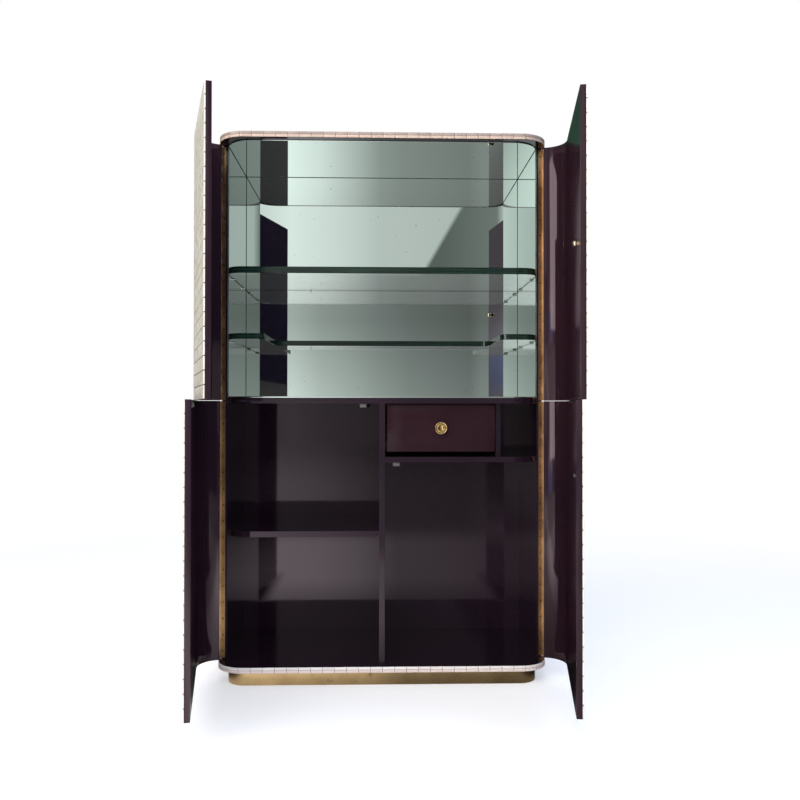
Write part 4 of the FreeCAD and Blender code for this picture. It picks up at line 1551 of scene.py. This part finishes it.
@dataclass
class RollerCatch:
    """A catch for one lower door: a steel box with side tabs and a roller in its mouth."""

    side: Side
    tall: float = 12 * MM
    wide: float = 21 * MM
    tab_run: float = 36 * MM
    tab_sheet: float = 1.6 * MM
    tab_back: float = 1.0 * MM
    tab_rounding: float = 0.5 * MM
    box_back: float = 0.4 * MM
    box_rounding: float = 1.0 * MM
    box_drop: float = 1.2 * MM
    wall: float = 2 * MM
    mouth_deep: float = 9 * MM
    mouth_tall: float = 6.6 * MM
    mouth_y: float = 2 * MM
    mouth_z: float = -0.8 * MM
    roller_y: float = 2.9 * MM
    screw_x: float = 14.4 * MM
    screw_y: float = 6 * MM
    screw_sunk: float = 0.05 * MM

    def build(self) -> bpy.types.Object:
        """Build the catch with its screws.

        Returns:
            The catch.
        """
        door = Door(Level.LOWER, self.side)
        low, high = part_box("door_catches")
        x, z = door.strike_x[self.side] * self.side.value, door.strike_z[self.side]
        top, front = z + self.tall / 2 - self.tab_sheet, low.y
        tab_y = front + self.tab_back
        tabs = slab("tabs", self.tab_run, self.tab_sheet, tab_y, high.y, 1, self.tab_rounding)
        shift(tabs, x - self.tab_run / 2, 0, top)
        dress(tabs, DARK_STEEL)
        height = self.tall - self.box_drop
        box_y = front + self.box_back
        case = slab("case", self.wide, height, box_y, high.y, 1, self.box_rounding)
        shift(case, x - self.wide / 2, 0, z - self.tall / 2)
        size = (self.wide - 2 * self.wall, self.mouth_deep, self.mouth_tall)
        mouth = block((x, front + self.mouth_y, z + self.mouth_z), size)
        carve(case, mouth, "DIFFERENCE")
        dress(case, CATCH_STEEL)
        roller = turned("roller", in_mm(ROLLER_RINGS), 28)
        place = Matrix.Translation((x, front + self.roller_y, z + self.mouth_z))
        roller.data.transform(place @ Matrix.Rotation(QUARTER, 4, "Y"))
        dress(roller, CATCH_STEEL)
        face = top - self.screw_sunk
        ends = [(x + way * self.screw_x, front + self.screw_y, face) for way in (-1, 1)]
        screws = CATCH_SCREW.drive("catch_screws", ends, (0, 0, -1), 3)
        return join("catch", [tabs, case, roller, screws])


BAR_ROUNDING = 0.12 * MM


@dataclass
class Carcass:
    """Fittings of the carcass: brass skirt, mirror seals, hinge screws, catches and back screws."""

    skirt_corner: float = 55 * MM
    skirt_sheet: float = 2 * MM
    skirt_columns: int = 220
    skirt_rounding: float = 0.4 * MM
    head_y: float = -124.6 * MM
    back_inset: float = 14 * MM
    screw_sunk: float = 0.02 * MM
    side_screws: int = 9
    end_screws: int = 4
    seal: float = 1.2 * MM
    seal_lip: float = 0.5 * MM

    def build_skirt(self) -> None:
        """Model the brass sheet that is bent round the plinth's front and sides."""
        low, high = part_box("plinth_skirt")
        corners = [(low.x, high.y), (low.x, low.y), (high.x, low.y), (high.x, high.y)]
        line = rounded_line(corners, self.skirt_corner)
        name, length = "plinth_brass_skirt", line_length(line)
        size = (length, high.z - low.z, 0, self.skirt_sheet)
        skirt = slab(name, *size, self.skirt_columns, self.skirt_rounding)
        wrap(skirt, line, low.z)
        dress(skirt, PLINTH_BRASS)
        fit(skirt, "carcass", "plinth_brass", "plinth_skirt")

    @staticmethod
    def bar(low: Point3, high: Point3) -> bpy.types.Object:
        """Model one thin bar with eased edges.

        Args:
            low: Its lowest corner.
            high: Its highest corner.

        Returns:
            The bar.
        """
        piece = slab("bar", high[0] - low[0], high[2] - low[2], low[1], high[1], 1, BAR_ROUNDING)
        shift(piece, low[0], 0, low[2])
        return piece

    def build_seals(self) -> None:
        """Model the dark seals in the corners and on the front edges of the mirror lining."""
        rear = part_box("back_mirror")[0].y
        top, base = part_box("ceiling_mirror"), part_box("floor_mirror")
        low, high, wide = base[1].z, top[0].z, self.seal
        bars = []
        for side in Side:
            near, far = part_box(side.name.lower() + "_mirror")
            inner = near.x if side is Side.RIGHT else far.x
            x0, x1 = sorted((inner, inner - side.value * wide))
            front = near.y
            bars.append(self.bar((x0, rear - wide, low), (x1, rear, high)))
            bars.append(self.bar((x0, front, high - wide), (x1, rear - wide, high)))
            bars.append(self.bar((x0, front, low), (x1, rear - wide, low + wide)))
            bars.append(self.bar((near.x, front - self.seal_lip, low), (far.x, front, high)))
        left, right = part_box("left_mirror")[1].x + wide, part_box("right_mirror")[0].x - wide
        bars.append(self.bar((left, rear - wide, high - wide), (right, rear, high)))
        bars.append(self.bar((left, rear - wide, low), (right, rear, low + wide)))
        seals = dress(join("mirror_lining_seals", bars), SEAL)
        fit(seals, "carcass", "mirror")

    def build_screws(self) -> None:
        """Model the screws of the four carcass leaves."""
        places = []
        for level in Level:
            for side in Side:
                places.extend(Door(level, side).screw_places(self.head_y))
        screws = HINGE_SCREW.drive("carcass_leaf_screws", places, (0, -1, 0), 7)
        fit(screws, "carcass", "hinge_brass", "carcass_hinge_screws")

    def build_catches(self) -> None:
        """Model the catches of the lower doors."""
        catches = join("door_roller_catches", [RollerCatch(side).build() for side in Side])
        smooth(catches)
        fit(catches, "carcass", "catch_steel", "door_catches")

    def build_back_screws(self) -> None:
        """Model the screws round the edge of the back panel."""
        low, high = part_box("back_panel")
        left, right = low.x + self.back_inset, high.x - self.back_inset
        bottom, top = low.z + self.back_inset, high.z - self.back_inset
        face = high.y - self.screw_sunk
        places = []
        for number in range(self.side_screws):
            z = bottom + (top - bottom) * number / (self.side_screws - 1)
            places += [(left, face, z), (right, face, z)]
        for number in range(1, self.end_screws + 1):
            x = left + (right - left) * number / (self.end_screws + 1)
            places += [(x, face, bottom), (x, face, top)]
        screws = BACK_SCREW.drive("back_panel_screws", places, (0, 1, 0), 11)
        fit(screws, "carcass", "hinge_brass")

    def build(self) -> None:
        """Build the carcass's fittings."""
        self.build_skirt()
        self.build_seals()
        self.build_screws()
        self.build_catches()
        self.build_back_screws()


@dataclass
class DrawerFace:
    """The drawer's lacquered front with eased edges, and its turned and dished brass knob."""

    rounding: float = 1.0 * MM
    rings: tuple[Point, ...] = (
        (8.6, 0), (9.0, 0.3), (9.0, 1.2), (8.0, 1.8), (7.2, 2.4), (6.9, 4.4), (7.2, 6.4),
        (8.6, 7.6), (12.6, 9.2), (17.4, 10.9), (18.6, 11.6), (19.0, 12.4), (19.0, 14.6),
        (18.7, 15.4), (18.0, 15.9), (17.2, 16.0), (16.2, 15.8), (15.5, 15.2), (15.1, 14.5),
        (14.2, 14.3), (12.6, 14.3), (11.9, 14.6), (11.5, 15.4), (10.9, 16.0), (10.1, 16.1),
        (9.2, 15.9), (8.5, 15.3), (7.4, 13.9), (6.0, 12.7), (4.4, 11.9), (2.6, 11.5), (0.9, 11.4),
    )

    def build_front(self) -> None:
        """Model the front board."""
        low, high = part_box("drawer_front")
        name, length, height = "drawer_front_board", high.x - low.x, high.z - low.z
        front = slab(name, length, height, low.y, high.y, 6, self.rounding)
        shift(front, low.x, 0, low.z)
        smooth(front)
        dress(front, FRONT_LACQUER)
        fit(front, "drawer", "aubergine_lacquer", "drawer_front")

    def build_knob(self) -> None:
        """Turn the knob and set it on the drawer's front."""
        low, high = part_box("drawer_knob")
        knob = turned("drawer_turned_knob", in_mm(self.rings), 64)
        middle = (low + high) / 2
        turn = Matrix.Translation((middle.x, high.y, middle.z)) @ Matrix.Rotation(QUARTER, 4, "X")
        knob.data.transform(turn)
        smooth(knob, KNOB_SMOOTH_ANGLE)
        dress(knob, KNOB_BRASS)
        fit(knob, "drawer", "knob_brass", "drawer_knob")

    def build(self) -> None:
        """Build the drawer's front and knob."""
        self.build_front()
        self.build_knob()


WHITE: Colour = (1.0, 1.0, 1.0)
BLACK: Colour = (0.0, 0.0, 0.0)
SEEN_RAYS = ("Camera", "Glossy", "Transmission")


def greys(levels: tuple[Point, ...]) -> list[tuple[float, Colour]]:
    """Turn places and brightnesses into the stops of a grey ramp."""
    return [(place, (level, level, level)) for place, level in levels]


@dataclass(frozen=True)
class Lamp:
    """A soft square lamp that points at a height of the cabinet's middle line."""

    name: str
    place: Point3
    aim_height: float
    size: float
    power: float
    tint: Colour
    mirrored: bool = False

    def build(self) -> None:
        """Hang the lamp. Glossy surfaces and glass show it only where it is mirrored."""
        data = bpy.data.lights.new(self.name, "AREA")
        data.size, data.energy, data.color = self.size, self.power, self.tint
        lamp = bpy.data.objects.new(self.name, data)
        way = Vector((0, 0, self.aim_height)) - Vector(self.place)
        lamp.location = self.place
        lamp.rotation_euler = way.to_track_quat("-Z", "Y").to_euler()
        lamp.visible_glossy = lamp.visible_transmission = self.mirrored
        bpy.context.scene.collection.objects.link(lamp)


LAMPS = (
    Lamp("key", (-2.7, -2.4, 2.3), 0.8, 2.8, 92, (1.0, 0.94, 0.88), True),
    Lamp("front", (-0.4, -3.6, 3.4), 0.8, 2.2, 80, (1.0, 0.98, 0.96)),
    Lamp("low", (-0.3, -3.4, 0.7), 0.1, 1.4, 19, (1.0, 0.97, 0.95)),
    Lamp("fill", (3.0, -2.0, 1.7), 0.8, 2.0, 36, (0.4, 0.6, 1.0)),
    Lamp("back", (0.6, 3.2, 2.6), 0.9, 2.2, 30, WHITE),
)


@dataclass
class Studio:
    """The floor, the light and the camera."""

    camera_place: Point3 = (-0.0126, -2.5704, 0.8345)
    camera_turn: Point3 = (90.503, -0.060, -1.541)
    lens: float = 35.61
    sensor: float = 36.0
    floor_size: float = 28.0
    floor_colour: Colour = (0.8, 0.8, 0.8)
    floor_glow: float = 0.42
    world_light: float = 0.42
    world_tint: Colour = (0.8, 0.9, 1.2)
    image_depth: float = 2.956
    floor_scale: float = 3.0
    close_floor: tuple[Point, ...] = (
        (0.0, 0.5), (0.2, 0.93), (0.34, 0.8), (0.43, 0.63), (0.5, 0.43), (0.54, 0.3), (0.63, 0.26),
        (0.75, 0.2), (1.0, 0.2),
    )
    far_floor: tuple[Point, ...] = (
        (0.0, 0.3), (0.12, 0.34), (0.22, 0.5), (0.35, 0.37), (0.43, 0.25), (0.5, 0.15), (0.56, 0.125),
        (0.72, 0.1), (0.76, 0.12), (1.0, 0.13),
    )
    wall_light: tuple[Point, ...] = (
        (0.0, 0.42), (0.12, 0.47), (0.2, 0.64), (0.28, 0.86), (0.35, 0.64), (0.43, 0.51), (0.5, 0.39),
        (0.58, 0.30), (0.65, 0.26), (0.73, 0.22), (0.76, 0.29), (0.87, 0.32), (1.0, 0.32),
    )
    ceiling_light: tuple[Point, ...] = (
        (0.0, 0.6), (0.12, 0.66), (0.28, 1.0), (0.4, 0.84), (0.5, 0.66), (0.7, 0.6), (1.0, 0.56),
    )
    slope_light: tuple[Colour, Colour] = ((0.135, 0.145, 0.14), (0.215, 0.225, 0.22))
    left_room: Colour = (0.27, 0.25, 0.28)
    right_room: Colour = (0.03, 0.035, 0.07)
    window_scale: Colour = (3.0, 3.0, 3.0)
    window_light: tuple[tuple[float, Colour], ...] = (
        (0.0, (0.5, 0.45, 0.5)),
        (0.38, (0.62, 0.56, 0.66)),
        (0.45, (0.3, 0.4, 0.85)),
        (0.56, (0.34, 0.42, 0.85)),
        (0.62, (0.72, 0.68, 0.8)),
        (0.78, (0.34, 0.29, 0.36)),
        (1.0, (0.24, 0.2, 0.26)),
    )
    high_tint: Colour = (0.94, 1.0, 0.97)
    low_tint: Colour = (1.0, 0.99, 0.99)
    low_dusk: Colour = (0.05, 0.06, 0.06)
    high_dusk: Colour = (0.03, 0.085, 0.055)
    view_edge: float = 0.25
    plain_floor: Range = (1.6, 3.2)
    far_floor_y: Range = (-1.9, -2.5)
    beside_x: Range = (0.47, 0.53)
    beside_light: Range = (1, 0.03)
    open_y: Range = (-0.7, -1.1)
    front_y: Range = (-0.2, -0.9)
    front_light: Range = (0.25, 1)
    last_y: Range = (-5.5, -11)
    last_light: Range = (1, 0.66)
    wall_rise: Range = (0.01, 0.11)
    wall_shade: float = 0.42
    ceiling_rise: Range = (0.165, 0.175)
    ceiling_slant: float = 0.573
    slant_edge: Range = (0.038, 0.044)
    slope_side: Range = (0.08, 0.15)
    slope_end: Range = (0.15, 0.158)
    horizon: Range = (-0.01, 0.02)
    right_side: Range = (0.27, 0.4)
    left_side: Range = (-0.27, -0.4)
    window_sides: tuple[Range, Range] = ((-0.45, -0.6), (-1.3, -1.1))
    window_rise: Range = (-0.3, 0.3)
    window_stretch: Point3 = (7, 1.6, 1)
    pane_streaks: Range = (0.35, 0.62)
    pane_light: Range = (0.25, 1)
    least_depth: float = 0.05
    dusk_rise: Range = (0.0, 0.3)
    turn_away: Range = (-0.02, -0.3)

    def build_camera(self) -> None:
        """Place the camera where the photograph was taken from."""
        data = bpy.data.cameras.new("camera")
        data.lens, data.sensor_width = self.lens, self.sensor
        camera = bpy.data.objects.new("camera", data)
        bpy.context.scene.collection.objects.link(camera)
        camera.location = self.camera_place
        camera.rotation_euler = [math.radians(turn) for turn in self.camera_turn]
        bpy.context.scene.camera = camera

    @staticmethod
    def rays(tree: NodeTree, *kinds: str) -> bpy.types.NodeSocket:
        """Give 1 for some kinds of ray and 0 for the others.

        Args:
            tree: The node tree that asks.
            *kinds: The kinds, such as Camera or Glossy.

        Returns:
            The number's socket.
        """
        path = tree.add("ShaderNodeLightPath").outputs
        found = path[f"Is {kinds[0]} Ray"]
        for kind in kinds[1:]:
            found = tree.maths("MAXIMUM", found, path[f"Is {kind} Ray"])
        return found

    def across(self, tree: NodeTree, side: bpy.types.NodeSocket) -> bpy.types.NodeSocket:
        """Give how far across the mirrored view a direction lies, from 0 to 1."""
        return tree.share(side, (-self.view_edge, self.view_edge))

    def mirrored_floor(self, tree: NodeTree, place: bpy.types.NodeSocket) -> bpy.types.NodeSocket:
        """Make the floor that the mirror and the lacquer show.

        Args:
            tree: The floor's node tree.
            place: The socket of the place on the floor.

        Returns:
            The shader's socket.
        """
        x, y, _ = tree.split(place)
        across = self.across(tree, tree.maths("DIVIDE", x, tree.maths("SUBTRACT", self.image_depth, y)))
        close_light, far_light = (
            tree.ramp(across, *greys(levels)) for levels in (self.close_floor, self.far_floor)
        )
        light = tree.mix(tree.share(y, self.far_floor_y), close_light, far_light)
        beside = tree.spread(tree.maths("ABSOLUTE", x), *self.beside_x, *self.beside_light)
        lit = tree.maths("MAXIMUM", beside, tree.share(y, self.open_y))
        level = tree.times(tree.spread(y, *self.front_y, *self.front_light), lit)
        level = tree.times(level, tree.spread(y, *self.last_y, *self.last_light))
        level = tree.times(level, self.floor_scale)
        return tree.shader("Emission", {"Color": tree.tinted(light, self.low_tint), "Strength": level})

    def build_floor(self) -> None:
        """Lay a pale floor that keeps the cabinet's shadow."""
        deselect()
        bpy.ops.mesh.primitive_grid_add(x_subdivisions=8, y_subdivisions=8, size=self.floor_size)
        floor = bpy.context.object
        floor.name = "floor"
        material = bpy.data.materials.new("studio_floor")
        material.use_nodes = True
        tree = NodeTree(material.node_tree)
        place = tree.object_place()
        reach = tree.add("ShaderNodeVectorMath", {0: place}, operation="LENGTH").outputs["Value"]
        seen = self.rays(tree, *SEEN_RAYS)
        matte = tree.shader("BsdfDiffuse", {"Color": (*self.floor_colour, 1)})
        glow = tree.shader("Emission", {"Strength": tree.times(seen, self.floor_glow)})
        near = tree.shader("AddShader", {0: matte, 1: glow})
        plain = tree.shader("Emission", {"Strength": 1.0})
        both = tree.blend(tree.times(tree.share(reach, self.plain_floor), seen), near, plain)
        bounced = self.rays(tree, "Glossy", "Transmission")
        tree.show(tree.blend(bounced, both, self.mirrored_floor(tree, place)))
        floor.data.materials.append(material)

    def room(
        self, tree: NodeTree, side: bpy.types.NodeSocket, rise: bpy.types.NodeSocket
    ) -> bpy.types.NodeSocket:
        """Colour the room in front of the cabinet: a wall, a slanted ceiling and windows.

        Args:
            tree: The world's node tree.
            side: How far sideways a direction goes for each metre towards the room.
            rise: How far upwards it goes.

        Returns:
            The colour's socket.
        """
        across = self.across(tree, side)
        wall, ceiling = (
            tree.ramp(across, *greys(levels)) for levels in (self.wall_light, self.ceiling_light)
        )
        wall = tree.mix(tree.spread(rise, *self.wall_rise, 0, self.wall_shade), wall, BLACK)
        slant = tree.maths("SUBTRACT", tree.times(rise, self.ceiling_slant), side)
        clear = tree.maths(
            "MAXIMUM", tree.share(slant, self.slant_edge), tree.share(side, self.slope_end)
        )
        slope = tree.mix(tree.share(side, self.slope_side), *self.slope_light)
        panels = tree.mix(clear, slope, ceiling)
        room = tree.mix(tree.share(rise, self.ceiling_rise), wall, panels)
        tint = tree.mix(tree.share(rise, self.horizon), self.low_tint, self.high_tint)
        room = tree.tinted(room, tint)
        room = tree.mix(tree.share(side, self.right_side), room, self.right_room)
        room = tree.mix(tree.share(side, self.left_side), room, self.left_room)
        edges = [tree.share(side, ends) for ends in self.window_sides]
        spot = tree.add("ShaderNodeCombineXYZ", {0: side, 1: rise}).outputs[0]
        streaks = tree.noise(tree.stretched(spot, *self.window_stretch), 1.0, 3, 0.5)
        shine = tree.spread(streaks, *self.pane_streaks, *self.pane_light)
        pane = tree.times(tree.times(*edges), shine)
        window = tree.ramp(tree.share(rise, self.window_rise), *self.window_light)
        return tree.mix(pane, room, tree.tinted(window, self.window_scale))

    def build_world(self) -> None:
        """Make a white background, and a dim room that only glossy surfaces show."""
        world = bpy.data.worlds.new("studio")
        bpy.context.scene.world = world
        world.use_nodes = True
        tree = NodeTree(world.node_tree)
        x, y, z = tree.split(tree.add("ShaderNodeTexCoord").outputs["Generated"])
        depth = tree.maths("MAXIMUM", tree.times(y, -1.0), self.least_depth)
        room = self.room(tree, tree.maths("DIVIDE", x, depth), tree.maths("DIVIDE", z, depth))
        dusk = tree.mix(tree.share(z, self.dusk_rise), self.low_dusk, self.high_dusk)
        beyond = tree.mix(self.rays(tree, "Glossy"), WHITE, dusk)
        mirrored = tree.mix(tree.share(y, self.turn_away), beyond, room)
        colour = tree.mix(self.rays(tree, "Camera"), mirrored, WHITE)
        shown = tree.shader("Background", {"Color": colour, "Strength": 1.0})
        light = {"Color": (*self.world_tint, 1), "Strength": self.world_light}
        soft = tree.shader("Background", light)
        tree.show(tree.blend(self.rays(tree, *SEEN_RAYS), soft, shown), "OutputWorld")

    def build(self) -> None:
        """Build the stage."""
        bpy.context.scene.view_settings.view_transform = "Standard"
        self.build_camera()
        self.build_floor()
        self.build_world()
        for lamp in LAMPS:
            lamp.build()
        LOG.info("stage ready")


def dress_cad_nodes() -> None:
    """Give every CAD node its own finish, or the one of its material slot."""
    for name, node in frame["nodes"].items():
        for slot in node.material_slots:
            usual = SLOT_FINISHES.get(slot.material.name.split(".")[0])
            finish = NODE_FINISHES.get(name, usual)
            if finish is None:
                LOG.warning("no finish for %s", slot.material.name)
                continue
            slot.link = "OBJECT"
            slot.material = finish.material()


def main() -> None:
    """Build the cabinet's looks and its stage in order."""
    dress_cad_nodes()
    for level in Level:
        for side in Side:
            Door(level, side).build()
    MosaicShell().build()
    Carcass().build()
    DrawerFace().build()
    Studio().build()


if __name__ == "__main__":
    main()
